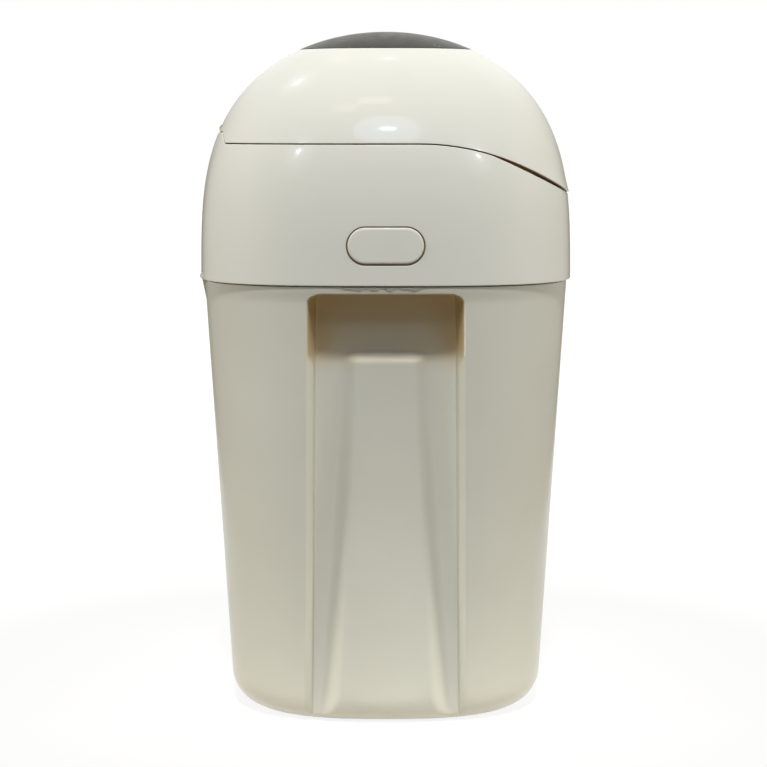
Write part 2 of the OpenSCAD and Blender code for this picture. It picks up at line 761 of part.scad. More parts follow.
module clamp_housing() {
    color(grey)
    difference() {
        union() {
            difference() {
                box([-clamp_half_l, -clamp_half_w, clamp_low_z],
                    [clamp_half_l, clamp_half_w, well_under_z]);
                box([-clamp_half_l + clamp_wall, -clamp_half_w + clamp_wall, clamp_low_z - 1],
                    [clamp_half_l - clamp_wall, clamp_half_w - clamp_wall, jaw_roof_z]);
            }
            // Ledges that carry the jaws
            for (s = [0, 1]) mirror([0, s, 0])
                box([-clamp_half_l + 1, clamp_half_w - clamp_wall - ledge_w, clamp_low_z],
                    [clamp_half_l - 1, clamp_half_w - 1, jaw_z - jaw_fit]);
            at_corners() translate([clamp_half_l - clamp_wall - peg_l, jaw_spring_y, jaw_spring_z])
                rotate([0, 90, 0]) cylinder(r = jaw_peg_r, h = peg_l + 1, $fn = round_fn);
        }
        translate([0, 0, jaw_roof_z - 1]) cylinder(r = throat_r, h = past, $fn = round_fn);
        at_corners() translate([clamp_screw_x, clamp_screw_x, jaw_roof_z - 1])
            cylinder(r = screw_r + pin_fit, h = clamp_wall + 2, $fn = round_fn);
    }
}

module clamp_screws() {
    color(steel)
    at_corners() translate([clamp_screw_x, clamp_screw_x, jaw_roof_z]) mirror([0, 0, 1])
        translate([0, 0, -clamp_wall - wall]) screw(clamp_wall + wall);
}

// The front jaw; the rear one is its mirror image
module clamp_jaw() {
    half = clamp_half_w - clamp_wall - jaw_fit;
    color(charcoal) {
        box([jaw_edge_x, -half, jaw_z], [jaw_end_x, half, jaw_z + jaw_t]);
        box([jaw_end_x - clamp_wall, -half, jaw_z], [jaw_end_x, half, jaw_roof_z - 1]);
        for (s = [-1, 1]) {
            box([jaw_edge_x + jaw_rib_inset, s * jaw_rib_y - jaw_rib_half, jaw_z + jaw_t - 1],
                [jaw_end_x - 1, s * jaw_rib_y + jaw_rib_half, jaw_z + jaw_t + jaw_rib_h]);
            translate([jaw_end_x - 1, s * jaw_spring_y, jaw_spring_z]) rotate([0, 90, 0])
                cylinder(r = jaw_peg_r, h = peg_l + 1, $fn = round_fn);
        }
    }
}

// Rubber lip that wraps the jaw's edge
module jaw_lip() {
    mid = jaw_z + jaw_t / 2;
    half = jaw_t / 2 + lip_skin;
    nose_r = half + nose_bulge;
    color(rubber)
    along_y(-jaw_lip_half, jaw_lip_half) difference() {
        union() {
            translate([nose_r + lip_rest, mid]) circle(r = nose_r, $fn = round_fn);
            translate([nose_r + lip_rest, mid - half]) square([lip_wrap, 2 * half]);
        }
        translate([jaw_edge_x, jaw_z]) square([past, jaw_t]);
    }
}

// A wire coil along +Z
module coil(r, wire_r, length, turns) {
    steps = coil_n * turns;
    rise = (length - 2 * wire_r) / steps;
    loft([for (i = [0 : steps]) let (t = 360 * i / coil_n)
        [for (j = [0 : wire_n - 1]) let (w = -360 * j / wire_n, reach = r - wire_r + wire_r * cos(w))
            [reach * cos(t), reach * sin(t), wire_r + i * rise + wire_r * sin(w)]]]);
}

module jaw_spring(sx, sy) {
    color(steel)
    translate([sx * (jaw_end_x + spring_rest), sy * jaw_spring_y, jaw_spring_z])
        rotate([0, sx * 90, 0]) coil(jaw_spring_r, jaw_wire_r,
            clamp_half_l - clamp_wall - jaw_end_x - 2 * spring_rest, jaw_spring_turns);
}

// Small hook cutter for the film, on the right side of the clamp housing
module film_cutter_body() {
    color(charcoal)
    difference() {
        along_y(-clamp_half_w - cutter_t, -clamp_half_w) translate([cutter_x, cutter_z]) difference() {
            square([cutter_l, cutter_h]);
            polygon([
                [cutter_l + 1, cutter_h * cutter_mouth_slot[0]],
                [cutter_l - cutter_mouth, cutter_h * cutter_slot[0]],
                [cutter_throat, cutter_h * cutter_slot[0]],
                [cutter_throat, cutter_h * cutter_slot[1]],
                [cutter_l - cutter_mouth, cutter_h * cutter_slot[1]],
                [cutter_l + 1, cutter_h * cutter_mouth_slot[1]]
            ]);
        }
        cutter_blade_box(blade_fit);
    }
}

module cutter_blade_box(grow) {
    mid_z = cutter_z + cutter_h * (cutter_slot[0] + cutter_slot[1]) / 2;
    translate([cutter_x + cutter_throat, -clamp_half_w - cutter_t / 2, mid_z])
        rotate([0, blade_tilt, 0])
            cube([blade_l + 2 * grow, blade_t + 2 * grow, blade_w + 2 * grow], center = true);
}

module film_cutter_blade() {
    color(steel) cutter_blade_box(0);
}

// ---------------------------------------------------------------- release buttons, modelled at +Y
module release_button() {
    face_y = head_w / 2 + button_proud + 1;
    face_half_h = button_h / 2 + 2;
    color(cream)
    difference() {
        union() {
            intersection() {
                along_y(button_back_y - button_root, face_y) button_outline(0);
                loft([for (i = [-1 : 1]) dome_ring_at(button_z + i * face_half_h, -button_proud)]);
            }
            along_y(button_back_y - wall / 2, button_back_y) button_outline(button_flange);
            box([-stem_half, stem_end_y, button_z - stem_half_h],
                [stem_half, button_back_y, button_z + stem_half_h]);
            box([-hook_w / 2, arm_y - wall, window_low + hook_fit], [hook_w / 2, arm_y, button_z]);
            box([-hook_w / 2, arm_y - wall, window_low + hook_fit],
                [hook_w / 2, catch_y - lip_t - hook_rest, window_high - hook_fit]);
        }
        translate([0, stem_end_y - 1, button_z]) rotate([-90, 0, 0])
            cylinder(r = button_spring_r + spring_room, h = pocket_l + 1, $fn = round_fn);
    }
}

module button_guide() {
    plate_y = well_r + guide_gap;
    color(grey)
    difference() {
        union() {
            box([-guide_half, plate_y, button_z - stem_half_h - 2],
                [guide_half, plate_y + wall, deck_under_z]);
            box([-guide_half, plate_y, deck_under_z - wall], [guide_half, guide_out_y, deck_under_z]);
            for (s = [0, 1]) mirror([s, 0, 0])
                box([stem_half + button_fit, plate_y, button_z - stem_half_h],
                    [stem_half + button_fit + wall, guide_out_y, button_z + stem_half_h]);
            translate([0, plate_y, button_z]) rotate([-90, 0, 0])
                cylinder(r = button_spring_r - 2 * button_wire_r - peg_fit, h = wall + guide_peg_l,
                    $fn = round_fn);
        }
        for (s = [-1, 1]) translate([s * guide_screw_x, guide_screw_y, deck_under_z - wall - 1])
            cylinder(r = screw_r + pin_fit, h = wall + 2, $fn = round_fn);
    }
}

module guide_screws() {
    color(steel)
    at_corners() translate([guide_screw_x, guide_screw_y, deck_under_z - wall]) screw(wall + deck_t);
}

module button_spring() {
    plate_y = well_r + guide_gap + wall;
    color(steel)
    translate([0, plate_y + spring_rest, button_z]) rotate([-90, 0, 0])
        coil(button_spring_r, button_wire_r, stem_end_y + pocket_l - plate_y - 2 * spring_rest,
            button_spring_turns);
}

// ---------------------------------------------------------------- lid
lid_lap = 6;
lid_low_angle = dome_angle(lip_z - lid_lap);

module lid_region() {
    along_y(-head_w, head_w) polygon(concat(seam_line(seam_gap / 2, 0),
        [[head_d, crown_z + past], [-head_d, crown_z + past]]));
}

module lid_knuckle(y0, y1) {
    along_y(y0, y1) {
        translate([lid_hinge_x, lid_hinge_z]) circle(r = lid_knuckle_r, $fn = round_fn);
        translate([lid_hinge_x - lid_arm_back, lid_hinge_z])
            square([lid_knuckle_r + lid_arm_back, lid_arm_h]);
    }
}

module lid_shell() {
    color(cream)
    difference() {
        union() {
            difference() {
                intersection() {
                    band(dome_rings(lid_low_angle, insert_angle, 0, dome_steps),
                        dome_rings(lid_low_angle, insert_angle, wall, dome_steps));
                    lid_region();
                }
                box([-head_d, -lid_hinge_half - lid_notch_side, 0],
                    [tab_x + lid_notch_front, lid_hinge_half + lid_notch_side, lid_notch_z]);
            }
            translate([0, 0, shelf_z - wall]) linear_extrude(height = wall)
                polygon(dome_plan(shelf_z - wall / 2, wall / 2));
            intersection() {
                loft(dome_rings(lid_low_angle, insert_angle, wall / 2, dome_steps));
                at_corners() translate([lid_boss_x, lid_boss_y, liner_z + wall])
                    cylinder(r = boss_r, h = past * 2, $fn = round_fn);
            }
            for (band = lid_bands)
                lid_knuckle(band[0], band[1]);
        }
        at_lid_hinge() cylinder(r = lid_pin_r + pin_fit, h = 2 * lid_hinge_half + 2, center = true,
            $fn = round_fn);
        at_corners() translate([lid_boss_x, lid_boss_y, liner_z])
            cylinder(r = screw_r + pin_fit, h = screw_l, $fn = round_fn);
    }
}

module lid_top_insert() {
    edge = insert_angle + insert_fit;
    rings = [for (i = [0 : insert_steps]) lerp(edge, insert_end, i / insert_steps)];
    outer = concat([for (phi = rings) dome_ring(phi, 0)],
        [oval(insert_crown[0], insert_crown[1], round_power, crown_z)]);
    inner = concat([oval(insert_crown[0], insert_crown[1], round_power, crown_z - wall)],
        [for (i = [insert_steps : -1 : 0]) dome_ring(rings[i], wall)]);
    rim_a = head_d / 2 * cos(insert_angle) - rim_inset;
    rim_b = head_w / 2 * cos(insert_angle) - rim_inset;
    color(charcoal) {
        loft(concat(inner, outer));
        translate([0, 0, shelf_z]) linear_extrude(height = insert_z - shelf_z - 1) difference() {
            polygon([for (p = oval(rim_a, rim_b, round_power, 0)) [p[0], p[1]]]);
            polygon([for (p = oval(rim_a - wall, rim_b - wall, round_power, 0)) [p[0], p[1]]]);
        }
    }
}

// Flat inner plate of the lid with a plug that closes the throat
module lid_liner() {
    color(grey)
    difference() {
        union() {
            intersection() {
                translate([0, 0, liner_z]) linear_extrude(height = wall)
                    polygon(dome_plan(liner_z + wall, wall + deck_fit));
                box([tab_x + lid_notch_front + 1, -head_w, 0], [head_d, head_w, crown_z]);
            }
            translate([0, 0, plug_z]) cylinder(r = plug_r, h = liner_z + wall - plug_z, $fn = round_fn);
        }
        translate([0, 0, plug_z + wall]) cylinder(r = plug_r - wall, h = past, $fn = round_fn);
        at_corners() translate([lid_boss_x, lid_boss_y, liner_z - 1])
            cylinder(r = screw_r + pin_fit, h = wall + 2, $fn = round_fn);
    }
}

module lid_seal() {
    color(rubber)
    rotate_extrude($fn = round_fn) translate([plug_r - seal_inset, 0]) polygon([
        [-seal_half[0], plug_z], [seal_half[0], plug_z], [seal_half[0], plug_z - seal_drop[0]],
        [seal_half[1], plug_z - seal_drop[1]], [seal_half[2], deck_z + seal_rest],
        [-seal_half[2], deck_z + seal_rest], [-seal_half[1], plug_z - seal_drop[1]],
        [-seal_half[0], plug_z - seal_drop[0]]
    ]);
}

module lid_screws() {
    color(steel)
    at_corners() translate([lid_boss_x, lid_boss_y, liner_z]) mirror([0, 0, 1])
        translate([0, 0, -screw_l + 2]) screw(screw_l - 2);
}

module lid_hinge_pin() {
    color(steel)
    at_lid_hinge() cylinder(r = lid_pin_r, h = 2 * lid_hinge_half, center = true, $fn = round_fn);
}

bin_body();
foot(1, 1);  // foot_front_left
foot(1, -1);  // foot_front_right
foot(-1, 1);  // foot_rear_left
foot(-1, -1);  // foot_rear_right
head_hinge_pin();
head_shell();
inner_deck();
cassette_tub();
cassette_cover();
film_pack();
clamp_housing();
clamp_screws();
deck_screws();
button_guide();  // button_guide_left
mirror([0, 1, 0]) button_guide();  // button_guide_right
guide_screws();
film_cutter_body();
film_cutter_blade();
lid_hinge_pin();
button_spring();  // button_spring_left
mirror([0, 1, 0]) button_spring();  // button_spring_right
jaw_spring(1, 1);  // jaw_spring_front_left
jaw_spring(1, -1);  // jaw_spring_front_right
jaw_spring(-1, 1);  // jaw_spring_rear_left
jaw_spring(-1, -1);  // jaw_spring_rear_right
release_button();  // release_button_left
mirror([0, 1, 0]) release_button();  // release_button_right
clamp_jaw();  // clamp_jaw_front
mirror([1, 0, 0]) clamp_jaw();  // clamp_jaw_rear
jaw_lip();  // jaw_lip_front
mirror([1, 0, 0]) jaw_lip();  // jaw_lip_rear
lid_shell();
lid_top_insert();
lid_liner();
lid_seal();
lid_screws();
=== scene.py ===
import math

import bmesh
import bpy
from mathutils import Matrix, Vector, noise


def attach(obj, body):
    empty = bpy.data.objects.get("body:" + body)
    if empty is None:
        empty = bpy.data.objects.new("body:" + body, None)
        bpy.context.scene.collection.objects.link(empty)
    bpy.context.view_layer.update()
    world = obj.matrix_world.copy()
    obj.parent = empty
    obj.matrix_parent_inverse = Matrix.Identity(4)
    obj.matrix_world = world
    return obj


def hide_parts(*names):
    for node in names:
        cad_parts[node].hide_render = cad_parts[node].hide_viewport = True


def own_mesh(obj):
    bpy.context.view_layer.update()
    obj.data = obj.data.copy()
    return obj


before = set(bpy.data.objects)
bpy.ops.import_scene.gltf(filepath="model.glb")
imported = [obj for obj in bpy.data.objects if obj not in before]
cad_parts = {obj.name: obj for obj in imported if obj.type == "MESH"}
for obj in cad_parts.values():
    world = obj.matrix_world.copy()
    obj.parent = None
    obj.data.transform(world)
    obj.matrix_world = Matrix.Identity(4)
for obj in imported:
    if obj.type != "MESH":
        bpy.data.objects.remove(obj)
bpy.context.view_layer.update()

# ------------------------------------------------------------------ studio
# A pale floor that runs out to a white surround, a broad lamp high in front of the bin, a weaker
# one behind it, and a few small ceiling lamps that show as spots in the glossy plastic.


def lamp(name, kind, place, at, strength, tint, glossy, **shape):
    """A lamp that is turned to a point. glossy says whether reflections show it."""
    light = bpy.data.lights.new(name, kind)
    for key, value in shape.items():
        setattr(light, key, value)
    light.energy = strength
    light.color = tint
    made = bpy.data.objects.new(name, light)
    made.location = place
    made.rotation_mode = "QUATERNION"
    made.rotation_quaternion = (Vector(at) - made.location).to_track_quat("-Z", "Y")
    made.visible_glossy = glossy
    bpy.context.scene.collection.objects.link(made)
    return made


def add(finish, kind, values=(), **settings):
    """A node of a material, with its sockets set or joined."""
    made = finish.node_tree.nodes.new("ShaderNode" + kind)
    for key, value in settings.items():
        setattr(made, key, value)
    for key, value in dict(values).items():
        feed(finish, made.inputs[key], value)
    return made


def feed(finish, socket, value):
    """Joins an output to a socket, or sets the socket to a constant."""
    if isinstance(value, bpy.types.NodeSocket):
        finish.node_tree.links.new(value, socket)
    else:
        socket.default_value = value


def paint(name):
    """A new material."""
    made = bpy.data.materials.new(name)
    made.use_nodes = True
    return made


def coat(finish, **sockets):
    """Sets or joins sockets of a material's shader."""
    shader = finish.node_tree.nodes["Principled BSDF"]
    for key, value in sockets.items():
        feed(finish, shader.inputs[key.replace("_", " ")], value)


def graded(finish, value, low, dark, high, light):
    """A colour that goes from one tone to another as a value rises."""
    ramp = add(finish, "ValToRGB", {"Fac": value})
    for stop, position, tone in zip(ramp.color_ramp.elements, (low, high), (dark, light)):
        stop.position, stop.color = position, tone
    return ramp.outputs["Color"]


def looked_at(finish):
    """1 where the camera, a reflection or glass sees a surface, and 0 for the light it gives."""
    path = add(finish, "LightPath").outputs
    seen = add(finish, "Math", {0: path["Is Camera Ray"], 1: path["Is Glossy Ray"]}, operation="MAXIMUM")
    return add(finish, "Math", {0: seen.outputs[0], 1: path["Is Transmission Ray"]},
               operation="MAXIMUM").outputs[0]


def set_out(bm, name, finish):
    """A flat thing of the studio, in metres."""
    mesh = bpy.data.meshes.new(name)
    bm.to_mesh(mesh)
    bm.free()
    mesh.materials.append(finish)
    made = bpy.data.objects.new(name, mesh)
    bpy.context.scene.collection.objects.link(made)
    return made


scene = bpy.context.scene
scene.view_settings.view_transform = "Standard"

camera = bpy.data.objects.new("camera", bpy.data.cameras.new("camera"))
scene.collection.objects.link(camera)
camera.location = (0.0, -1.8, 0.49)
camera.rotation_euler = (math.radians(83.5), 0.0, 0.0)
camera.data.sensor_width = 36.0
camera.data.lens = 100.9
camera.data.shift_x = -0.0029
camera.data.shift_y = -0.0282
scene.camera = camera

# A weak warm surround for light, and plain white where it is looked at
surround = bpy.data.worlds.new("surround")
surround.use_nodes = True
scene.world = surround
dim = surround.node_tree.nodes["Background"]
dim.inputs["Color"].default_value = (1.0, 0.82, 0.6, 1.0)
dim.inputs["Strength"].default_value = 0.05
white = add(surround, "Background", {"Color": (1.0, 1.0, 1.0, 1.0)})
blend = add(surround, "MixShader", {"Fac": looked_at(surround), 1: dim.outputs[0], 2: white.outputs[0]})
feed(surround, surround.node_tree.nodes["World Output"].inputs["Surface"], blend.outputs[0])

# The floor keeps the bin's shadow near it and turns into the surround further out
floor_white = paint("floor_white")
away = add(floor_white, "VectorMath", {0: add(floor_white, "TexCoord").outputs["Object"]},
           operation="LENGTH").outputs["Value"]
coat(floor_white, Roughness=0.9, Specular_IOR_Level=0.0,
     Base_Color=graded(floor_white, away, 0.13, (0.78, 0.74, 0.68, 1.0), 0.4, (0.12, 0.11, 0.09, 1.0)))
far = add(floor_white, "MapRange", {"Value": away, "From Min": 0.2, "From Max": 0.7,
                                    "To Min": 0.8, "To Max": 1.0})
part = add(floor_white, "Math", {0: looked_at(floor_white), 1: far.outputs[0]}, operation="MULTIPLY")
glow = add(floor_white, "Emission", {"Strength": 1.08})
lit = floor_white.node_tree.nodes["Principled BSDF"]
blend = add(floor_white, "MixShader", {"Fac": part.outputs[0], 1: lit.outputs[0], 2: glow.outputs[0]})
feed(floor_white, floor_white.node_tree.nodes["Material Output"].inputs["Surface"], blend.outputs[0])
bm = bmesh.new()
bmesh.ops.create_circle(bm, cap_ends=True, segments=96, radius=9.0)
floor = set_out(bm, "floor", floor_white)

# Dark flags beside the bin give its rounded sides a darker edge, and fade out at their ends
flag_dark = paint("flag_dark")
parts = add(flag_dark, "SeparateXYZ", {0: add(flag_dark, "TexCoord").outputs["Object"]}).outputs
fades = [add(flag_dark, "MapRange", {"Value": parts[axis], "From Min": none, "From Max": whole},
             interpolation_type="SMOOTHSTEP").outputs[0]
         for axis, none, whole in (("Y", 1.4, -0.4), ("Z", 0.3, 1.2))]
fade = add(flag_dark, "Math", {0: fades[0], 1: fades[1]}, operation="MAXIMUM").outputs[0]
coat(flag_dark, Base_Color=(0.0, 0.0, 0.0, 1.0), Specular_IOR_Level=0.0, Emission_Strength=1.0,
     Emission_Color=graded(flag_dark, fade, 0.0, (0.2, 0.18, 0.13, 1.0), 1.0, (1.0, 1.0, 1.0, 1.0)))
for side in (-1, 1):
    bm = bmesh.new()
    bmesh.ops.create_grid(bm, x_segments=1, y_segments=1, size=1)
    bmesh.ops.rotate(bm, matrix=Matrix.Rotation(math.radians(90), 3, "Y"), verts=bm.verts)
    bmesh.ops.scale(bm, vec=(1, 1.8, 0.6), verts=bm.verts)
    bmesh.ops.translate(bm, vec=(side * 0.6, 1.4, 0.6), verts=bm.verts)
    flag = set_out(bm, "flag", flag_dark)
    flag.visible_camera = flag.visible_diffuse = flag.visible_shadow = flag.visible_transmission = False

lamp("key", "SUN", (0.0, -1.0, 1.75), (0, 0, 0), 2.75, (0.92, 0.95, 1.0), False, angle=math.radians(5))
for side in (-1, 1):
    lamp("side", "SUN", (side * 2.0, -0.35, 0.9), (0, 0, 0), 1.5, (1.0, 0.97, 0.88), False,
         angle=math.radians(20))
lamp("back", "SUN", (0.3, 1.0, 0.7), (0, 0, 0), 1.4, (0.97, 1.0, 0.98), False, angle=math.radians(40))
COOL, BLUE, WARM = (0.82, 0.89, 1.0), (0.55, 0.7, 1.0), (1.0, 0.86, 0.64)
for place, at, watts, tint, across, haze in (
        ((-1.11, 0.38, 2.40), (-0.07, -0.077, 0.517), 0.5, COOL, 0.09, 1.6),
        ((0.02, -1.79, 1.91), (0.003, -0.112, 0.481), 0.6, BLUE, 0.1, 5),
        ((-1.23, -1.63, 1.56), (-0.068, -0.11, 0.463), 0.6, COOL, 0.09, 1.6),
        ((1.33, -1.59, 1.49), (0.073, -0.11, 0.46), 0.6, COOL, 0.09, 1.6),
        ((-0.49, 0.79, 2.51), (-0.038, -0.068, 0.535), 0.06, WARM, 0.06, 1.6),
        ((0.02, 0.57, 2.64), (0.003, -0.072, 0.536), 0.06, COOL, 0.06, 1.6)):
    for name, share, spread in (("glint", 1, 1), ("halo", 0.9, 2.6), ("glow", haze, 7)):
        lamp(name, "AREA", place, at, watts * share, tint, True, shape="DISK", size=across * spread)
for place, at, watts in (((-0.47, -1.25, 2.32), (-0.03, -0.103, 0.497), 0.4),
                         ((-0.12, -1.14, 2.44), (-0.01, -0.101, 0.503), 0.5)):
    lamp("window", "AREA", place, at, watts, WARM, True, shape="RECTANGLE", size=0.33, size_y=0.24)

# ------------------------------------------------------------------ bin body
# The tall body is one moulding in ivory plastic with a low gloss. Each side has a grip channel
# with a deep finger pocket at its top and a raised tongue that runs out at the floor.

MM = 0.001
SHARP = math.radians(38)


def lerp(start, end, share):
    return start + (end - start) * share


def held(value):
    """A share kept between 0 and 1."""
    return min(max(value, 0.0), 1.0)


def smooth_step(value):
    share = held(value)
    return share * share * (3 - 2 * share)


def tube(columns, rows, cap=False):
    """A tube of unit radius whose vertices lie in columns and rows, for a piece to shape."""
    bm = bmesh.new()
    bmesh.ops.create_cone(bm, cap_ends=cap, segments=columns, radius1=1, radius2=1, depth=1)
    upright = [e for e in bm.edges if abs(e.verts[0].co.z - e.verts[1].co.z) > 0.5]
    bmesh.ops.subdivide_edges(bm, edges=upright, cuts=rows - 1, use_grid_fill=True)
    return bm


def shape(bm, columns, rows, place):
    """Moves each vertex of a tube to the place of its column and row, in millimetres."""
    for v in bm.verts:
        turn = math.atan2(v.co.y, v.co.x) / (2 * math.pi)
        v.co = place(round(turn * columns) % columns, round((v.co.z + 0.5) * rows))


def piece(bm, name, body, finish, *nodes):
    """The finished object of a mesh drawn in millimetres, riding on its body."""
    bmesh.ops.scale(bm, vec=(MM, MM, MM), verts=bm.verts)
    mesh = bpy.data.meshes.new(name)
    for face in bm.faces:
        face.smooth = True
    bm.to_mesh(mesh)
    bm.free()
    mesh.set_sharp_from_angle(angle=SHARP)
    mesh.materials.append(finish)
    made = bpy.data.objects.new(name, mesh)
    bpy.context.scene.collection.objects.link(made)
    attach(made, body)
    if nodes:
        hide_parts(*nodes)
    return made


def outward(bm):
    bmesh.ops.recalc_face_normals(bm, faces=bm.faces)


def painted_recess_shade(finish, colour, tone, reach, own, shut, free, bounds=()):
    """A colour darkened with painted shade in the recesses, where walls within reach shut out the air.

    The tone is full where the share of open air is shut, and gone where it is free. own leaves
    the walls of other pieces out. Each bound is an axis, with the distances from the middle, in
    metres, at which the painted shade is none and whole.
    """
    # Painted shade: the colour is darkened where the surroundings shut out the air, as shade falls
    # there.
    air = add(finish, "AmbientOcclusion", {"Distance": reach}, samples=6, only_local=own)
    painted_shade = add(finish, "MapRange", {"Value": air.outputs["AO"], "From Min": shut, "From Max": free,
                                    "To Min": 1.0, "To Max": 0.0})
    place = add(finish, "SeparateXYZ", {0: add(finish, "TexCoord").outputs["Object"]}).outputs
    for axis, none, whole in bounds:
        out = add(finish, "Math", {0: place[axis]}, operation="ABSOLUTE")
        share = add(finish, "MapRange", {"Value": out.outputs[0], "From Min": none, "From Max": whole})
        painted_shade = add(finish, "Math", {0: painted_shade.outputs[0], 1: share.outputs[0]}, operation="MULTIPLY")
    return add(finish, "Mix", {"Factor": painted_shade.outputs[0], "A": colour, "B": tone},
               data_type="RGBA", blend_type="MULTIPLY").outputs["Result"]


def moulded(name, tint, shade, rough, peel=0.05, drift=7.0, edge_highlight=None, recess_shade=None,
            dust_and_glint=None, **sockets):
    """Moulded plastic: a tint that drifts a little, fine scuffs and a faint orange peel.

    edge_highlight is the paler tone of its rounded edges, a painted highlight; recess_shade darkens its
    recesses with painted shade; and dust_and_glint is the tone of its pale specks, partly dusty
    flecks and partly painted glints.
    """
    made = paint(name)
    place = add(made, "TexCoord").outputs["Object"]
    cloud = add(made, "TexNoise", {"Vector": place, "Scale": drift, "Detail": 3.0})
    colour = graded(made, cloud.outputs["Fac"], 0.3, shade, 0.7, tint)
    # A paler tone on the rounded edges is a painted highlight.
    if edge_highlight:
        edge = add(made, "MapRange", {"Value": add(made, "NewGeometry").outputs["Pointiness"],
                                      "From Min": 0.525, "From Max": 0.565})
        colour = add(made, "Mix", {"Factor": edge.outputs[0], "A": colour, "B": edge_highlight},
                     data_type="RGBA").outputs["Result"]
    # Painted shade darkens the colour in the recesses.
    if recess_shade:
        colour = painted_recess_shade(made, colour, **recess_shade)
    # Pale specks: partly dusty flecks and partly painted glints.
    if dust_and_glint:
        fleck = add(made, "TexNoise", {"Vector": place, "Scale": 210.0, "Detail": 6.0, "Roughness": 0.7})
        spot = add(made, "MapRange", {"Value": fleck.outputs["Fac"], "From Min": 0.64, "From Max": 0.7})
        colour = add(made, "Mix", {"Factor": spot.outputs[0], "A": colour, "B": dust_and_glint},
                     data_type="RGBA").outputs["Result"]
    along = add(made, "Mapping", {"Vector": place, "Rotation": (0.5, 0.9, 0.3), "Scale": (30, 18, 9)})
    scuff = add(made, "TexNoise", {"Vector": along.outputs[0], "Scale": 3.0, "Detail": 5.0})
    gloss = add(made, "MapRange", {"Value": scuff.outputs["Fac"], "From Min": 0.35, "From Max": 0.75,
                                   "To Min": rough[0], "To Max": rough[1]})
    skin = add(made, "TexNoise", {"Vector": place, "Scale": 420.0, "Detail": 2.0})
    relief = add(made, "Bump", {"Height": skin.outputs["Fac"], "Strength": peel, "Distance": 0.0002})
    coat(made, Base_Color=colour, Roughness=gloss.outputs[0], Normal=relief.outputs[0], **sockets)
    return made


def shown(red, green, blue):
    """A colour as the eye reads it, from 0 to 255, on the shader's own scale."""
    parts = (value / 255 for value in (red, green, blue))
    return (*(p / 12.92 if p <= 0.04045 else ((p + 0.055) / 1.055) ** 2.4 for p in parts), 1.0)


# The ivory's warm brown darkening, kept by its bounds to the finger pockets, is a painted shadow of the
# pocket's top ledge; its paler rounded edges are a painted highlight.
ivory = moulded("ivory_plastic", shown(204, 202, 187), shown(198, 195, 180), (0.3, 0.36),
                edge_highlight=shown(226, 223, 208),
                recess_shade={"tone": (0.9, 0.66, 0.34, 1), "reach": 0.08, "own": True,
                       "shut": 0.6, "free": 0.96,
                       "bounds": (("Z", 0.285, 0.31), ("Z", 0.354, 0.351), ("X", 0.065, 0.0635))},
                Coat_Weight=0.2, Coat_Roughness=0.16, Specular_IOR_Level=0.3)

BASE_A, BASE_B = 128.5, 103.0
RIM_A, RIM_B = 150.0, 122.0
BASE_POWER, RIM_POWER = 2.65, 2.9
SEAM_Z, RIM_Z = 358.0, 357.8
FOOT_UP, BASE_R, LONG_SIDE_ROUND = 1.5, 24.0, 0.62
WALL = 2.5
GRIP_TOP, GRIP_R, GRIP_BAND = 351.0, 7.0, 6.5
GRIP_HALF, GRIP_BASE_DEPTH, GRIP_DEPTH = (65.5, 62.5), 11, 31
EDGE_END, EDGE_RUN, EDGE_WIDTH, EDGE_DROP = 303, 12, (1.2, 5.6), (1.2, 5.2)
TONGUE_TOP, TONGUE_BAND, TONGUE_RISE = 305.0, 11.0, 4.5
TONGUE_HALF, TONGUE_FOOT_BAND, TONGUE_FOOT_RISE = (53.0, 33.0), 15.0, 1
LIP_IN, LIP_T, LIP_TOP, LIP_FOOT = 2.8, 2.0, 365.5, 356.2
FLARE, FLARE_RUN = 1.6, 14.0
CORNER_POINTS = 22


def body_size(z, inset):
    """Half sizes and squareness of the body's plan at a height."""
    up, share = z - FOOT_UP, z / SEAM_Z
    r = BASE_R - inset
    cut = inset if up >= BASE_R else BASE_R - math.sqrt(max(r * r - (BASE_R - up) ** 2, 0))
    return (lerp(BASE_A, RIM_A, share) - cut, lerp(BASE_B, RIM_B, share) - cut * LONG_SIDE_ROUND,
            lerp(BASE_POWER, RIM_POWER, share))


def arch(halves, top, z):
    """Half width of a tall arch with rounded top corners."""
    over = held((z - top + GRIP_R) / GRIP_R)
    return lerp(*halves, z / top) - GRIP_R + GRIP_R * math.sqrt(1 - over * over)


def grip_floor(z):
    return lerp(BASE_B - GRIP_BASE_DEPTH, body_size(GRIP_TOP, 0)[1] - GRIP_DEPTH, z / GRIP_TOP)


def tongue_face(z):
    return lerp(BASE_B + TONGUE_FOOT_RISE, grip_floor(TONGUE_TOP) + TONGUE_RISE, z / TONGUE_TOP)


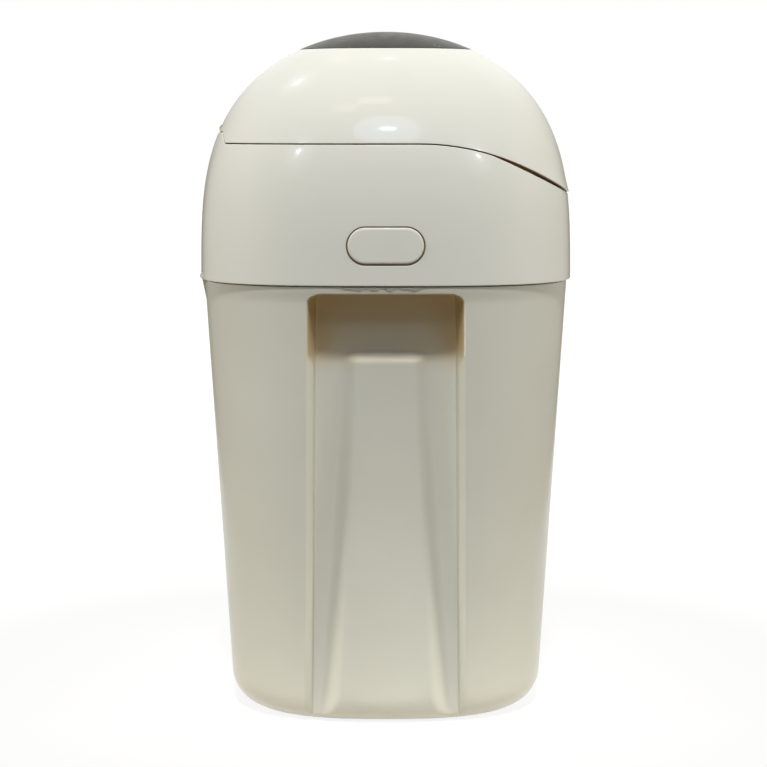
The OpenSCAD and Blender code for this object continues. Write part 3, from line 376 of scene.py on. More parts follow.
def body_half(z, inset, closed):
    """Half a plan section, from the front round the side. closed is 1 above the grip's mouth."""
    a, b, power = body_size(z, inset)
    if inset <= 0:
        b += FLARE * smooth_step((z - RIM_Z + FLARE_RUN) / FLARE_RUN)
    top = GRIP_TOP + inset
    mouth = arch(GRIP_HALF, top, z) + inset
    floor_x = mouth - GRIP_BAND
    foot = arch(TONGUE_HALF, TONGUE_TOP - inset, z) - inset
    crest = foot - lerp(TONGUE_FOOT_BAND, TONGUE_BAND - 1, z / TONGUE_TOP)
    on_tongue = smooth_step((TONGUE_TOP - inset - z) / TONGUE_BAND)
    floor_y = grip_floor(z) - inset
    face_y = lerp(floor_y, tongue_face(z) - inset, on_tongue)

    def skin(x):
        return b * max(1 - (abs(x) / a) ** power, 0) ** (1 / power)

    def reach(turn):
        c, s = math.cos(turn), math.sin(turn)
        r = ((c / a) ** power + (s / b) ** power) ** (-1 / power)
        return r * c, r * s

    edge = math.atan2(skin(mouth), mouth)
    near = math.atan2(skin(mouth + 1.6), mouth + 1.6)
    corner = [reach(near * i / CORNER_POINTS) for i in range(CORNER_POINTS + 1)] + [reach(edge)]
    lip, below = skin(mouth), smooth_step((EDGE_END - z) / EDGE_RUN)
    flat, drop = lerp(*EDGE_WIDTH, below), min(lerp(*EDGE_DROP, below), (lip - floor_y) * 0.5)
    wall = [(mouth - flat * s, lip - drop * s) for s in (0.1, 0.5, 0.9)]
    wall += [(mouth - flat - 0.4, lip - drop - 1.0), (floor_x + 0.4, lerp(floor_y, lip - drop, 0.1))]
    low = wall + [(floor_x - 0.4, floor_y), (floor_x - 1.8, floor_y)]
    low += [(lerp(floor_x - 1.8, foot + 1.2, s), floor_y) for s in (0.35, 0.7)]
    low += [(foot + 1.2, floor_y)]
    low += [(lerp(foot, crest, s), lerp(floor_y, face_y, lerp(s, smooth_step(s), 0.5)))
            for s in (0, 0.25, 0.5, 0.75, 1)]
    low += [(crest - 1.5, face_y), (crest * 0.7, face_y), (crest * 0.35, face_y)]
    side = [(x, min(lerp(y, skin(x), closed), skin(x))) for x, y in low]
    middle = [(0.0, min(lerp(face_y, b, closed), b))]
    front = corner + side
    return front + middle + [(-x, y) for x, y in reversed(front[1:])]


def body_rows():
    """Heights, insets and closings of the sections, up the outside and down the inside."""
    rounds = [FOOT_UP + BASE_R * (1 - math.cos(math.radians(90 * i / 8))) for i in range(9)]
    straight = [lerp(FOOT_UP + BASE_R, 288, i / 16) for i in range(1, 17)]
    pocket = [291.5, 294.5, 296, 298, 300, 302, 304, 305.5, 308, 314, 324, 334, 340, 344]
    arc = [GRIP_TOP - GRIP_R + GRIP_R * math.sin(math.radians(90 * i / 5)) for i in range(6)]
    outside = [(z, 0, 0) for z in rounds + straight + pocket + arc[1:]]
    ceiling = [(GRIP_TOP + 0.8 * k, 0, k) for k in (0.06, 0.5, 0.94, 1.0)]
    above = [(z, 0, 1) for z in (352.8, 354.5, 356.4, 357.0, RIM_Z)]
    rim = [(RIM_Z, 0.5, 1), (RIM_Z, LIP_IN - 0.4, 1), (RIM_Z, LIP_IN, 1), (RIM_Z + 0.5, LIP_IN, 1)]
    lip = [(LIP_TOP - 0.5, LIP_IN, 1), (LIP_TOP, LIP_IN, 1), (LIP_TOP, LIP_IN + 0.5, 1),
           (LIP_TOP, LIP_IN + LIP_T - 0.5, 1), (LIP_TOP, LIP_IN + LIP_T, 1),
           (LIP_TOP - 0.5, LIP_IN + LIP_T, 1), (LIP_FOOT, LIP_IN + LIP_T, 1)]
    top = GRIP_TOP + WALL
    roof = [(top + 0.8 * k, WALL, k) for k in (1.0, 0.9, 0.1)]
    down = [top, top - 3, top - GRIP_R, 330, 315, 304, 300.5, 296, 292, 280, 240, 190, 140, 90, 50, 30]
    inside = [(z, WALL, 0) for z in down]
    low = [FOOT_UP + BASE_R - (BASE_R - WALL) * math.cos(math.radians(90 * i / 5)) for i in (4, 3, 2)]
    inside += [(z, WALL, 0) for z in low] + [(FOOT_UP + 4.0, WALL, 0)]
    return outside + ceiling + above + rim + lip + roof + inside


rings = []
for z, inset, closed in body_rows():
    half = body_half(z, inset, closed)
    rings.append([(x, y, z) for x, y in half + [(-x, -y) for x, y in half]])
columns, rows = len(rings[0]), len(rings) - 1
bm = tube(columns, rows, cap=True)
shape(bm, columns, rows, lambda column, row: rings[row][column])
outward(bm)
body = piece(bm, "bin_body_moulding", "bin", ivory, "bin_body")
smooth = body.modifiers.new("smooth", "SUBSURF")
smooth.levels = smooth.render_levels = 1

# A ragged sliver of moulding flash hangs under the seam in the middle of one side
bm = bmesh.new()
bmesh.ops.create_grid(bm, x_segments=90, y_segments=2, size=0.5)
for v in bm.verts:
    x = 70 * v.co.x - 2
    ragged = 0.5 + noise.noise(Vector((x * 0.16, 0, 0))) + 0.35 * noise.noise(Vector((x * 0.9, 3, 0)))
    hang = 0.5 + 2.2 * held(ragged)
    z = RIM_Z - 0.2 - hang * (0.5 - v.co.y) * held((35 - abs(x + 2)) / 6)
    v.co = (x, -(RIM_B + FLARE) * (1 - (abs(x) / RIM_A) ** RIM_POWER) ** (1 / RIM_POWER) - 0.3, z)
bmesh.ops.solidify(bm, geom=bm.faces, thickness=0.3)
outward(bm)
flash = piece(bm, "bin_body_flash", "bin", ivory)


def block(bm, low, high):
    """Adds a box between two corners."""
    made = bmesh.ops.create_cube(bm, size=1)["verts"]
    bmesh.ops.scale(bm, vec=[b - a for a, b in zip(low, high)], verts=made)
    bmesh.ops.translate(bm, vec=[(a + b) / 2 for a, b in zip(low, high)], verts=made)


def rod(bm, x, z, radius, start, end):
    """Adds a cylinder that lies along Y."""
    made = bmesh.ops.create_cone(bm, cap_ends=True, segments=48, radius1=radius, radius2=radius,
                                 depth=end - start)["verts"]
    bmesh.ops.rotate(bm, matrix=Matrix.Rotation(math.radians(90), 3, "X"), verts=made)
    bmesh.ops.translate(bm, vec=(x, (start + end) / 2, z), verts=made)


def post(bm, x, y, radius, low, high):
    """Adds an upright cylinder."""
    made = bmesh.ops.create_cone(bm, cap_ends=True, segments=48, radius1=radius, radius2=radius,
                                 depth=high - low)["verts"]
    bmesh.ops.translate(bm, vec=(x, y, (low + high) / 2), verts=made)


def prism(bm, outline, start, end):
    """Adds a solid drawn as an outline in X and Z and pulled out along Y."""
    face = bm.faces.new([bm.verts.new((x, start, z)) for x, z in outline])
    made = bmesh.ops.extrude_face_region(bm, geom=[face])["geom"]
    moved = [v for v in made if isinstance(v, bmesh.types.BMVert)]
    bmesh.ops.translate(bm, vec=(0, end - start, 0), verts=moved)


def turned(x, z, radius, start, end):
    """Points of an arc round a hinge line, between two angles in degrees."""
    turns = [math.radians(lerp(start, end, i / 30)) for i in range(31)]
    return [(x + radius * math.cos(t), z + radius * math.sin(t)) for t in turns]


def carve(made, tool, operation="DIFFERENCE"):
    """Cuts a piece with a solid drawn in millimetres and keeps the result as its mesh."""
    bmesh.ops.scale(tool, vec=(MM, MM, MM), verts=tool.verts)
    outward(tool)
    blade_mesh = bpy.data.meshes.new("tool")
    tool.to_mesh(blade_mesh)
    tool.free()
    blade = bpy.data.objects.new("tool", blade_mesh)
    bpy.context.scene.collection.objects.link(blade)
    step = made.modifiers.new("carve", "BOOLEAN")
    step.object, step.operation, step.solver = blade, operation, "EXACT"
    done = made.evaluated_get(bpy.context.evaluated_depsgraph_get())
    mesh = bpy.data.meshes.new_from_object(done)
    made.modifiers.clear()
    uncut, made.data = made.data, mesh
    bpy.data.meshes.remove(uncut)
    bpy.data.objects.remove(blade)
    bpy.data.meshes.remove(blade_mesh)
    mesh.name = made.name
    for face in mesh.polygons:
        face.use_smooth = True
    mesh.set_sharp_from_angle(angle=SHARP)
    return made


def rounded(made, width, segments=2, least=35):
    """Rounds a piece's edges with a small radius, as a mould does."""
    edge = made.modifiers.new("edges", "BEVEL")
    edge.width = width * MM
    edge.segments = segments
    edge.limit_method = "ANGLE"
    edge.angle_limit = math.radians(least)
    edge.use_clamp_overlap = False
    edge.harden_normals = True
    return made


def corners(x, y):
    """The same place in each quarter of the plan."""
    return [(sx * x, sy * y) for sx in (-1, 1) for sy in (-1, 1)]


def knuckle_row(outline, bands):
    """Hinge knuckles with one outline, each over its own stretch of the hinge line."""
    bm = bmesh.new()
    for start, end in bands:
        prism(bm, outline, start, end)
    outward(bm)
    return bm


def bored(made, x, z, radius, width):
    """Bores a row of knuckles for their pin and rounds their edges."""
    tool = bmesh.new()
    rod(tool, x, z, radius, -60, 60)
    rounded(carve(made, tool), width)


HINGE_X, HINGE_Z, KNUCKLE_R, PIN_R, KNUCKLE_GAP = -149.4, 361.2, 2.8, 1.65, 0.5
BODY_BANDS = ((-44.0, -30.8), (-7.92, 7.92), (30.8, 44.0))
HEAD_BANDS = ((-30.3, -8.42), (8.42, 30.3))
FOOT_X, FOOT_Y, FOOT_R = 74.5, 43.0, 11.1
CATCH_Y, CATCH_TOP, WINDOW_LOW, WINDOW_HIGH = 119.173, 367.5, 358.5, 364.0
CATCH_HALF, WINDOW_HALF = 16.0, 12.2

# The rim is lower behind the hinge, and the feet sit in shallow holes
tool = bmesh.new()
block(tool, (-200, -50.15, 355.7), (-118, 50.15, 380))
carve(body, tool)
tool = bmesh.new()
block(tool, (-200, -130, RIM_Z), (-118, 130, 380))
for x, y in corners(FOOT_X, FOOT_Y):
    post(tool, x, y, FOOT_R, -1, 3)
carve(body, tool)

knuckle = turned(HINGE_X, HINGE_Z, KNUCKLE_R, 0, 253)
knuckle += [(HINGE_X + 2.5, SEAM_Z - 16), (HINGE_X + 4.6, SEAM_Z - 16)]
knuckles = piece(knuckle_row(knuckle, BODY_BANDS), "bin_body_hinge_knuckles", "bin", ivory)
bored(knuckles, HINGE_X, HINGE_Z, PIN_R, 0.35)

for side, name in ((1, "left"), (-1, "right")):
    bm = bmesh.new()
    block(bm, (-CATCH_HALF, side * CATCH_Y - 1, LIP_FOOT), (CATCH_HALF, side * CATCH_Y + 1, CATCH_TOP))
    bmesh.ops.translate(bm, vec=(0, -side, 0), verts=bm.verts)
    catch = piece(bm, f"bin_body_catch_{name}", "bin", ivory)
    tool = bmesh.new()
    block(tool, (-WINDOW_HALF, side * CATCH_Y - 5, WINDOW_LOW),
          (WINDOW_HALF, side * CATCH_Y + 5, WINDOW_HIGH))
    rounded(carve(catch, tool), 0.3)

# ------------------------------------------------------------------ head shell
# The head is a glossy cream moulding. Its dome shape runs on into the lid, and its top edge
# follows the lid's seam, with a raised tab at the back for the hinge and a hole for each button.
HEAD_A, HEAD_B = 153.0, 125.0
DOME_Z, CROWN_Z, DOME_POWER, CROWN_POWER = 360.0, 560.0, 3.2, 2.2
SKIRT_Z = 358.5
LID_SEAM, LIP_DROP, LIP_RUN, LIP_SLOT, SLOT_FROM = 469.0, 41.0, 123.0, 2.2, 0.45
SEAM_GAP = 0.8
TAB_X, TAB_Z, TAB_LEAN = -129.608, 478.0, 3.0
BUTTON_Z, BUTTON_R, BUTTON_STRAIGHT, BUTTON_GAP = 389.75, 14.25, 15.75, 0.9
HOLE_X, HOLE_Z, HOLE_REACH = 38, 21, 26
DOME_COLUMNS, HEAD_UPPER_ROWS = 240, 14


def dome_size(z, out=0.0):
    """Half sizes and squareness of the dome's plan at a height, grown outwards by out."""
    share = held((z - DOME_Z) / (CROWN_Z + out - DOME_Z))
    scale = math.sqrt(1 - share ** DOME_POWER)
    power = lerp(RIM_POWER, CROWN_POWER, held((z - SEAM_Z) / (CROWN_Z - SEAM_Z)))
    return (HEAD_A + out) * scale, (HEAD_B + out) * scale, power


def dome_point(turn, z, out=0.0):
    a, b, power = dome_size(z, out)
    c, s = math.cos(turn), math.sin(turn)
    r = 1 / ((abs(c) / a) ** power + (abs(s) / b) ** power) ** (1 / power) if a > 0 else 0
    return Vector((r * c, r * s, z))


def dome_side(x, z, out=0.0):
    """How far the dome reaches sideways at a place on its long axis."""
    a, b, power = dome_size(z, out)
    return b * max(1 - (abs(x) / a) ** power, 0) ** (1 / power)


LIP_X = dome_size(LID_SEAM - LIP_DROP)[0]


def seam_height(x, rise, slot):
    """Height of the lid's seam, moved by rise, with the finger slot near the front lip."""
    if x < TAB_X:
        return rise + lerp(TAB_Z, LID_SEAM, held((x - TAB_X + TAB_LEAN) / TAB_LEAN))
    u = held((x - LIP_X + LIP_RUN) / LIP_RUN)
    opening = math.sin(math.pi * (u - SLOT_FROM) / (1 - SLOT_FROM)) if u > SLOT_FROM else 0
    return rise + LID_SEAM - LIP_DROP * u * u - slot * opening


def seam_at(turn, rise, slot):
    """Height at which the seam crosses the dome in one direction."""
    low, high = LID_SEAM - LIP_DROP - 6, TAB_Z + 2
    for _ in range(40):
        middle = (low + high) / 2
        if middle < seam_height(dome_point(turn, middle).x, rise, slot):
            low = middle
        else:
            high = middle
    return low


def dome_turns():
    """The directions of the dome's columns, with one on each corner of the hinge tab."""
    turns = [2 * math.pi * i / DOME_COLUMNS for i in range(DOME_COLUMNS)]
    for x, z in ((TAB_X, LID_SEAM), (TAB_X - TAB_LEAN, TAB_Z)):
        corner = math.atan2(dome_side(x, z), x)
        nearest = round(corner / (2 * math.pi) * DOME_COLUMNS)
        turns[nearest] = corner
        turns[DOME_COLUMNS - nearest] = 2 * math.pi - corner
    return turns


def rise_share(z):
    """The angle along the dome's curve at a height."""
    return math.asin(held((z - DOME_Z) / (CROWN_Z - DOME_Z)))


def dome_height(angle):
    return DOME_Z + (CROWN_Z - DOME_Z) * math.sin(angle)


def thicken(bm, thickness):
    """Gives an outer skin its wall on the inside."""
    outward(bm)
    centre = Vector((0, 0, 400))
    away = sum((f.calc_center_median() - centre).normalized().dot(f.normal) for f in bm.faces)
    if away < 0:
        bmesh.ops.reverse_faces(bm, faces=bm.faces)
    bmesh.ops.solidify(bm, geom=bm.faces, thickness=thickness)


def soften(bm, width, segments=3):
    """Rounds every edge that turns more than 50 degrees."""
    edges = [e for e in bm.edges if len(e.link_faces) == 2 and e.calc_face_angle() > math.radians(50)]
    bmesh.ops.bevel(bm, geom=edges, offset=width, offset_type="OFFSET", segments=segments,
                    profile=0.5, affect="EDGES", clamp_overlap=True, material=-1)


def even(made):
    """Lets the broad faces set the shading beside their rounded edges."""
    weigh = made.modifiers.new("shading", "WEIGHTED_NORMAL")
    weigh.keep_sharp = True
    return made


def stadium(x, z, r):
    """The point of a button's outline nearest to a place, at a radius from its centre line."""
    near = min(max(x, -BUTTON_STRAIGHT), BUTTON_STRAIGHT)
    away = Vector((x - near, z - BUTTON_Z)).normalized() * r
    return near + away.x, BUTTON_Z + away.y


# The cream's brown darkening in the narrow gaps round the buttons and along the seams is painted shade,
# and its paler rounded edges are a painted highlight.
cream = moulded("cream_plastic", shown(211, 209, 197), shown(207, 205, 192), (0.28, 0.34),
                edge_highlight=shown(240, 237, 226),
                recess_shade={"tone": (0.4, 0.2, 0.04, 1), "reach": 0.005, "own": False,
                       "shut": 0.3, "free": 0.9},
                Coat_Weight=0.8, Coat_Roughness=0.045, Specular_IOR_Level=0.3)

turns = dome_turns()
level = [SKIRT_Z, DOME_Z + 0.6, 362.4, 364.6, 367] + [370 + 4.2 * i for i in range(12)]
head_edge = [seam_at(t, -SEAM_GAP / 2, LIP_SLOT) for t in turns]
head_rows = len(level) + HEAD_UPPER_ROWS - 1


def head_place(column, row):
    if row < len(level):
        return dome_point(turns[column], level[row])
    share = (row - len(level) + 1) / HEAD_UPPER_ROWS
    start, end = rise_share(level[-1]), rise_share(head_edge[column])
    return dome_point(turns[column], dome_height(lerp(start, end, share)))


bm = tube(DOME_COLUMNS, head_rows)
shape(bm, DOME_COLUMNS, head_rows, head_place)
for side in (-1, 1):
    middles = [(f, f.calc_center_median()) for f in bm.faces]
    inside = [f for f, at in middles
              if abs(at.x) < HOLE_X and abs(at.z - BUTTON_Z) < HOLE_Z and at.y * side > 0]
    bmesh.ops.delete(bm, geom=inside, context="FACES")
    edge = [e for e in bm.edges if e.is_boundary
            and all(abs(v.co.z - BUTTON_Z) < HOLE_REACH and v.co.y * side > 0 for v in e.verts)]
    for grow in (5, 2.4, BUTTON_GAP):
        made = bmesh.ops.extrude_edge_only(bm, edges=edge)["geom"]
        edge = [e for e in made if isinstance(e, bmesh.types.BMEdge)]
        for v in {v for e in edge for v in e.verts}:
            x, z = stadium(v.co.x, v.co.z, BUTTON_R + grow)
            v.co = (x, side * dome_side(x, z), z)
thicken(bm, WALL)
soften(bm, 0.7)
head = piece(bm, "head_moulding", "head", cream, "head_shell")

LID_HINGE_X, LID_HINGE_Z, LID_KNUCKLE_R, LID_PIN_R = -133.624, 481.0, 2.9, 1.55
TAB_BANDS = ((-28.0, -19.6), (-5.6, 5.6), (19.6, 28.0))
LID_BANDS = ((-19.1, -6.1), (6.1, 19.1))
DECK_BOSS = (104.0, 87.0)
DECK_UNDER, BOSS_R, BOSS_H = 421.5, 5.0, 18.0

# A rebate stands up behind the lid's seam and closes it to the eye
lid_edge = [seam_at(t, SEAM_GAP / 2, 0) for t in turns]


def rebate_place(column, row):
    under, over = head_edge[column], lid_edge[column]
    z = (under - 6, under - 1.2, under - 0.2, over + 1.6)[row]
    return dome_point(turns[column], z, -(1.5, 1.5, WALL + 0.4, WALL + 0.4)[row])


bm = tube(DOME_COLUMNS, 3)
shape(bm, DOME_COLUMNS, 3, rebate_place)
behind = [f for f in bm.faces if f.calc_center_median().x < TAB_X + 10]
bmesh.ops.delete(bm, geom=behind, context="FACES")
thicken(bm, 1.2)
soften(bm, 0.25, 2)
rebate = even(piece(bm, "head_seam_rebate", "head", cream))

# Slots in the skirt for the body's knuckles
tool = bmesh.new()
for start, end in BODY_BANDS:
    block(tool, (-200, start - KNUCKLE_GAP, 340),
          (HINGE_X + 2 * KNUCKLE_R, end + KNUCKLE_GAP, HINGE_Z + KNUCKLE_R + 1))
even(carve(head, tool))


def inside_dome(low, high, inset, rows=12):
    """The solid inside of the dome between two heights."""
    bm = tube(96, rows, cap=True)
    shape(bm, 96, rows, lambda column, row: dome_point(2 * math.pi * column / 96,
                                                       lerp(low, high, row / rows), -inset))
    outward(bm)
    return bm


# The hinge tab is a solid block that closes the back of the head under the lid's hinge
bm = bmesh.new()
prism(bm, [(-200, TAB_Z - 0.6), (TAB_X - TAB_LEAN - 0.6, TAB_Z - 0.6), (TAB_X - 0.6, LID_SEAM - 0.6),
           (TAB_X - 0.6, LID_SEAM - 7.5), (-200, LID_SEAM - 19.5)], -200, 200)
outward(bm)
tab = piece(bm, "head_hinge_tab", "head", cream)
carve(tab, inside_dome(430, 490, 1.25), "INTERSECT")
tool = bmesh.new()
for start, end in LID_BANDS:
    rod(tool, LID_HINGE_X, LID_HINGE_Z, LID_KNUCKLE_R + 1, start - KNUCKLE_GAP, end + KNUCKLE_GAP)
rounded(carve(tab, tool), 0.4, 3)

# Knuckles of both hinges
knuckle = turned(HINGE_X, HINGE_Z, KNUCKLE_R, 120, 360)
knuckle += [(HINGE_X + KNUCKLE_R, HINGE_Z + 12), (HINGE_X - KNUCKLE_R / 2, HINGE_Z + 12)]
knuckles = piece(knuckle_row(knuckle, HEAD_BANDS), "head_skirt_knuckles", "head", cream)
bored(knuckles, HINGE_X, HINGE_Z, PIN_R, 0.35)

knuckle = turned(LID_HINGE_X, LID_HINGE_Z, LID_KNUCKLE_R, -31, 211)
knuckle += [(LID_HINGE_X - 3, LID_SEAM), (LID_HINGE_X + 3, LID_SEAM)]
knuckles = piece(knuckle_row(knuckle, TAB_BANDS), "head_tab_knuckles", "head", cream)
bored(knuckles, LID_HINGE_X, LID_HINGE_Z, LID_PIN_R, 0.3)

# Bosses under the deck, each with a rib out to the wall
bm = bmesh.new()
for x, y in corners(*DECK_BOSS):
    turn = math.atan2(y, x)
    reach = dome_point(turn, DECK_UNDER).xy.length - math.hypot(x, y) - 1.6
    rib = bmesh.ops.create_cube(bm, size=1)["verts"]
    bmesh.ops.scale(bm, vec=(reach, WALL, BOSS_H - 1), verts=rib)
    bmesh.ops.translate(bm, vec=(reach / 2, 0, DECK_UNDER - BOSS_H / 2 - 0.5), verts=rib)
    bmesh.ops.rotate(bm, matrix=Matrix.Rotation(turn, 3, "Z"), verts=rib)
    bmesh.ops.translate(bm, vec=(x, y, 0), verts=rib)
    post(bm, x, y, BOSS_R, DECK_UNDER - BOSS_H, DECK_UNDER)
outward(bm)
bosses = rounded(piece(bm, "head_deck_bosses", "head", cream), 0.35)

# ------------------------------------------------------------------ lid
# The lid is one more glossy cream moulding on the same dome. Its front lip stands a little
# proud as a finger hold, and its top is open for the dark insert.
INSERT_ANGLE, LID_ROWS = 62.0, 34
LIP_PROUD, LIP_UP, LIP_FROM, LIP_SPAN = 1.2, 16, 0.72, 0.24
SHELF_Z, LINER_Z, LID_BOSS = 540.6, 474.0, (91.0, 73.0)


def crown_height(angle):
    """Height on the dome of an angle in degrees, from its rim at 0 to its crown at 90."""
    return DOME_Z + (CROWN_Z - DOME_Z) * math.sin(math.radians(angle)) ** (2 / DOME_POWER)


def lid_place(column, row):
    start, end = rise_share(lid_edge[column]), rise_share(crown_height(INSERT_ANGLE))
    z = dome_height(lerp(start, end, (row / LID_ROWS) ** 1.15))
    front = smooth_step((math.cos(turns[column]) - LIP_FROM) / LIP_SPAN)
    near = held(1 - (z - lid_edge[column]) / LIP_UP)
    return dome_point(turns[column], z, LIP_PROUD * front * near * near)


bm = tube(DOME_COLUMNS, LID_ROWS)
shape(bm, DOME_COLUMNS, LID_ROWS, lid_place)
thicken(bm, WALL)
soften(bm, 0.5)
lid = piece(bm, "lid_moulding", "lid", cream, "lid_shell")

# Notch at the back for the hinge
tool = bmesh.new()
block(tool, (-200, -32, 400), (TAB_X + 3, 32, LID_HINGE_Z + LID_KNUCKLE_R))
even(carve(lid, tool))

knuckle = turned(LID_HINGE_X, LID_HINGE_Z, LID_KNUCKLE_R, 98.2, 360)
knuckle += [(LID_HINGE_X + LID_KNUCKLE_R + 1, LID_HINGE_Z + 9), (LID_HINGE_X + 2, LID_HINGE_Z + 9)]
knuckles = piece(knuckle_row(knuckle, LID_BANDS), "lid_hinge_knuckles", "lid", cream)
bored(knuckles, LID_HINGE_X, LID_HINGE_Z, LID_PIN_R, 0.3)

# The shelf under the top insert, and the bosses that the liner is screwed to
shelf = piece(inside_dome(SHELF_Z - WALL, SHELF_Z, 1.25, 1), "lid_shelf", "lid", cream)
bm = bmesh.new()
for x, y in corners(*LID_BOSS):
    post(bm, x, y, BOSS_R, LINER_Z + WALL, CROWN_Z)
bosses = piece(bm, "lid_bosses", "lid", cream)
carve(bosses, inside_dome(LINER_Z - 10, SHELF_Z, 1.25), "INTERSECT")

# ------------------------------------------------------------------ lid insert
# A dark cap in semi-gloss charcoal plastic closes the top of the lid and carries on its curve.
# The charcoal's paler rounded edges are a painted highlight, and its pale specks are partly dusty flecks
# and partly painted glints.
charcoal = moulded("charcoal_plastic", shown(55, 54, 47), shown(46, 45, 40), (0.3, 0.4), peel=0.3,
                   edge_highlight=shown(120, 118, 108), dust_and_glint=shown(150, 150, 146), Specular_IOR_Level=0.22)
INSERT_COLUMNS, INSERT_ROWS, INSERT_CLEAR = 160, 20, 0.4
edge_angle = rise_share(crown_height(INSERT_ANGLE + INSERT_CLEAR))


def insert_place(column, row):
    angle = lerp(edge_angle, math.radians(89.2), row / INSERT_ROWS)
    return dome_point(2 * math.pi * column / INSERT_COLUMNS, dome_height(angle))


bm = tube(INSERT_COLUMNS, INSERT_ROWS)
shape(bm, INSERT_COLUMNS, INSERT_ROWS, insert_place)
crown = [e for e in bm.edges if e.is_boundary and e.verts[0].co.z > CROWN_Z - 1]
bmesh.ops.edgeloop_fill(bm, edges=crown)
thicken(bm, WALL)
soften(bm, 0.5)
cap = even(piece(bm, "lid_top_cap", "lid", charcoal, "lid_top_insert"))

# ------------------------------------------------------------------ release buttons
# Each button is a rounded bar that stands just out of its hole and follows the dome. Its stem
# and hook run inwards behind it.
PROUD, SIT_UP, BUTTON_ROUND = 1.15, 0.4, 1.6
BUTTON_BACK, FLANGE, FLANGE_T, STEM_END, ARM_Y = 120.8, 3, 1.25, 103.0, 115.473
BUTTON_COLUMNS = 96
insets = [0.0, 0.0, 0.0, 0.13, 0.38, 0.75, BUTTON_ROUND, 2.2, 4, 6, 8, 10, 12, 13.6]


def button_edge(column, r):
    """A point of the button's outline in one direction, at a radius from its centre line."""
    turn = 2 * math.pi * column / BUTTON_COLUMNS
    return stadium(60 * math.cos(turn), BUTTON_Z + 60 * math.sin(turn), r)


for side, name in ((1, "left"), (-1, "right")):
    def button_place(column, row):
        x, z = button_edge(column, BUTTON_R - insets[row])
        z += SIT_UP
        over = max(BUTTON_ROUND - insets[row], 0)
        depth = BUTTON_ROUND - math.sqrt(max(BUTTON_ROUND ** 2 - over ** 2, 0))
        if row < 3:
            depth = (6.5, 3.5, BUTTON_ROUND)[row]
        return x, side * (dome_side(x, z, PROUD) - depth), z

    def flange_place(column, row):
        x, z = button_edge(column, BUTTON_R + FLANGE)
        return x, side * (BUTTON_BACK - FLANGE_T * row), z

    bm = tube(BUTTON_COLUMNS, len(insets) - 1, cap=True)
    shape(bm, BUTTON_COLUMNS, len(insets) - 1, button_place)
    outward(bm)
    button = even(piece(bm, f"release_button_face_{name}", f"button_{name}", cream,
                        f"release_button_{name}"))

    # Flange, stem and hook behind the face
    bm = tube(BUTTON_COLUMNS, 1, cap=True)
    shape(bm, BUTTON_COLUMNS, 1, flange_place)
    low, high = sorted((side * STEM_END, side * BUTTON_BACK))
    block(bm, (-14, low, BUTTON_Z - 8), (14, high, BUTTON_Z + 8))
    low, high = sorted((side * (ARM_Y - WALL), side * ARM_Y))
    block(bm, (-11, low, WINDOW_LOW + 0.6), (11, high, BUTTON_Z))
    low, high = sorted((side * (ARM_Y - WALL), side * (CATCH_Y - 2.3)))
    block(bm, (-11, low, WINDOW_LOW + 0.6), (11, high, WINDOW_HIGH - 0.6))
    outward(bm)
    stem = piece(bm, f"release_button_stem_{name}", f"button_{name}", cream)
    tool = bmesh.new()
    rod(tool, 0, BUTTON_Z, 5.1, *sorted((side * (STEM_END - 1), side * (STEM_END + 10))))
    rounded(carve(stem, tool), 0.3)

# ------------------------------------------------------------------ feet
# Four round pads of matt black rubber are glued into shallow holes under the bin.


def keep(finish, *nodes):
    """Gives CAD nodes that stay in view their finish."""
    for node in nodes:
        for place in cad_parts[node].material_slots:
            place.material = finish


def rim(width, *nodes):
    """Joins a CAD node's loose faces and rounds its edges with a small radius."""
    for node in nodes:
        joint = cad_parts[node].modifiers.new("join", "WELD")
        joint.merge_threshold = 0.00001
        rounded(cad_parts[node], width, least=40)


def rubber(name, tint, grain=900.0):
    """Soft black rubber with a dusty bloom and a fine dull grain."""
    made = paint(name)
    place = add(made, "TexCoord").outputs["Object"]
    bloom = add(made, "TexNoise", {"Vector": place, "Scale": 40.0, "Detail": 4.0}).outputs["Fac"]
    pale = tuple(min(c * 2.0 + 0.01, 1.0) for c in tint[:3]) + (1.0,)
    dull = add(made, "MapRange", {"Value": bloom, "To Min": 0.6, "To Max": 0.85})
    skin = add(made, "TexNoise", {"Vector": place, "Scale": grain, "Detail": 2.0})
    relief = add(made, "Bump", {"Height": skin.outputs["Fac"], "Strength": 0.35, "Distance": 0.0002})
    coat(made, Specular_IOR_Level=0.35, Sheen_Weight=0.15, Roughness=dull.outputs[0],
         Normal=relief.outputs[0], Base_Color=graded(made, bloom, 0.35, tint, 0.8, pale))
    return made


black_rubber = rubber("black_rubber", shown(30, 30, 29))
keep(black_rubber, "foot_front_left", "foot_front_right", "foot_rear_left", "foot_rear_right")

# ------------------------------------------------------------------ hinge pins, springs and screws
# The pins, springs and screws are zinc-plated steel, drawn or turned, with the blue-grey plating
# a little cloudy and finely lined along its length.


def plated(name, tint, dark, rough, stretch):
    """Zinc plating: cloudy blue-grey with fine lines that run along the stretch."""
    made = paint(name)
    place = add(made, "TexCoord").outputs["Object"]
    cloud = add(made, "TexNoise", {"Vector": place, "Scale": 90.0, "Detail": 4.0}).outputs["Fac"]
    along = add(made, "Mapping", {"Vector": place, "Scale": stretch})
    lines = add(made, "TexNoise", {"Vector": along.outputs[0], "Scale": 6.0, "Detail": 5.0})
    gloss = add(made, "MapRange", {"Value": lines.outputs["Fac"], "From Min": 0.3, "From Max": 0.7,
                                   "To Min": rough[0], "To Max": rough[1]})
    relief = add(made, "Bump", {"Height": lines.outputs["Fac"], "Strength": 0.12, "Distance": 0.0001})
    coat(made, Metallic=1.0, Roughness=gloss.outputs[0], Normal=relief.outputs[0],
         Base_Color=graded(made, cloud, 0.35, dark, 0.7, tint))
    return made


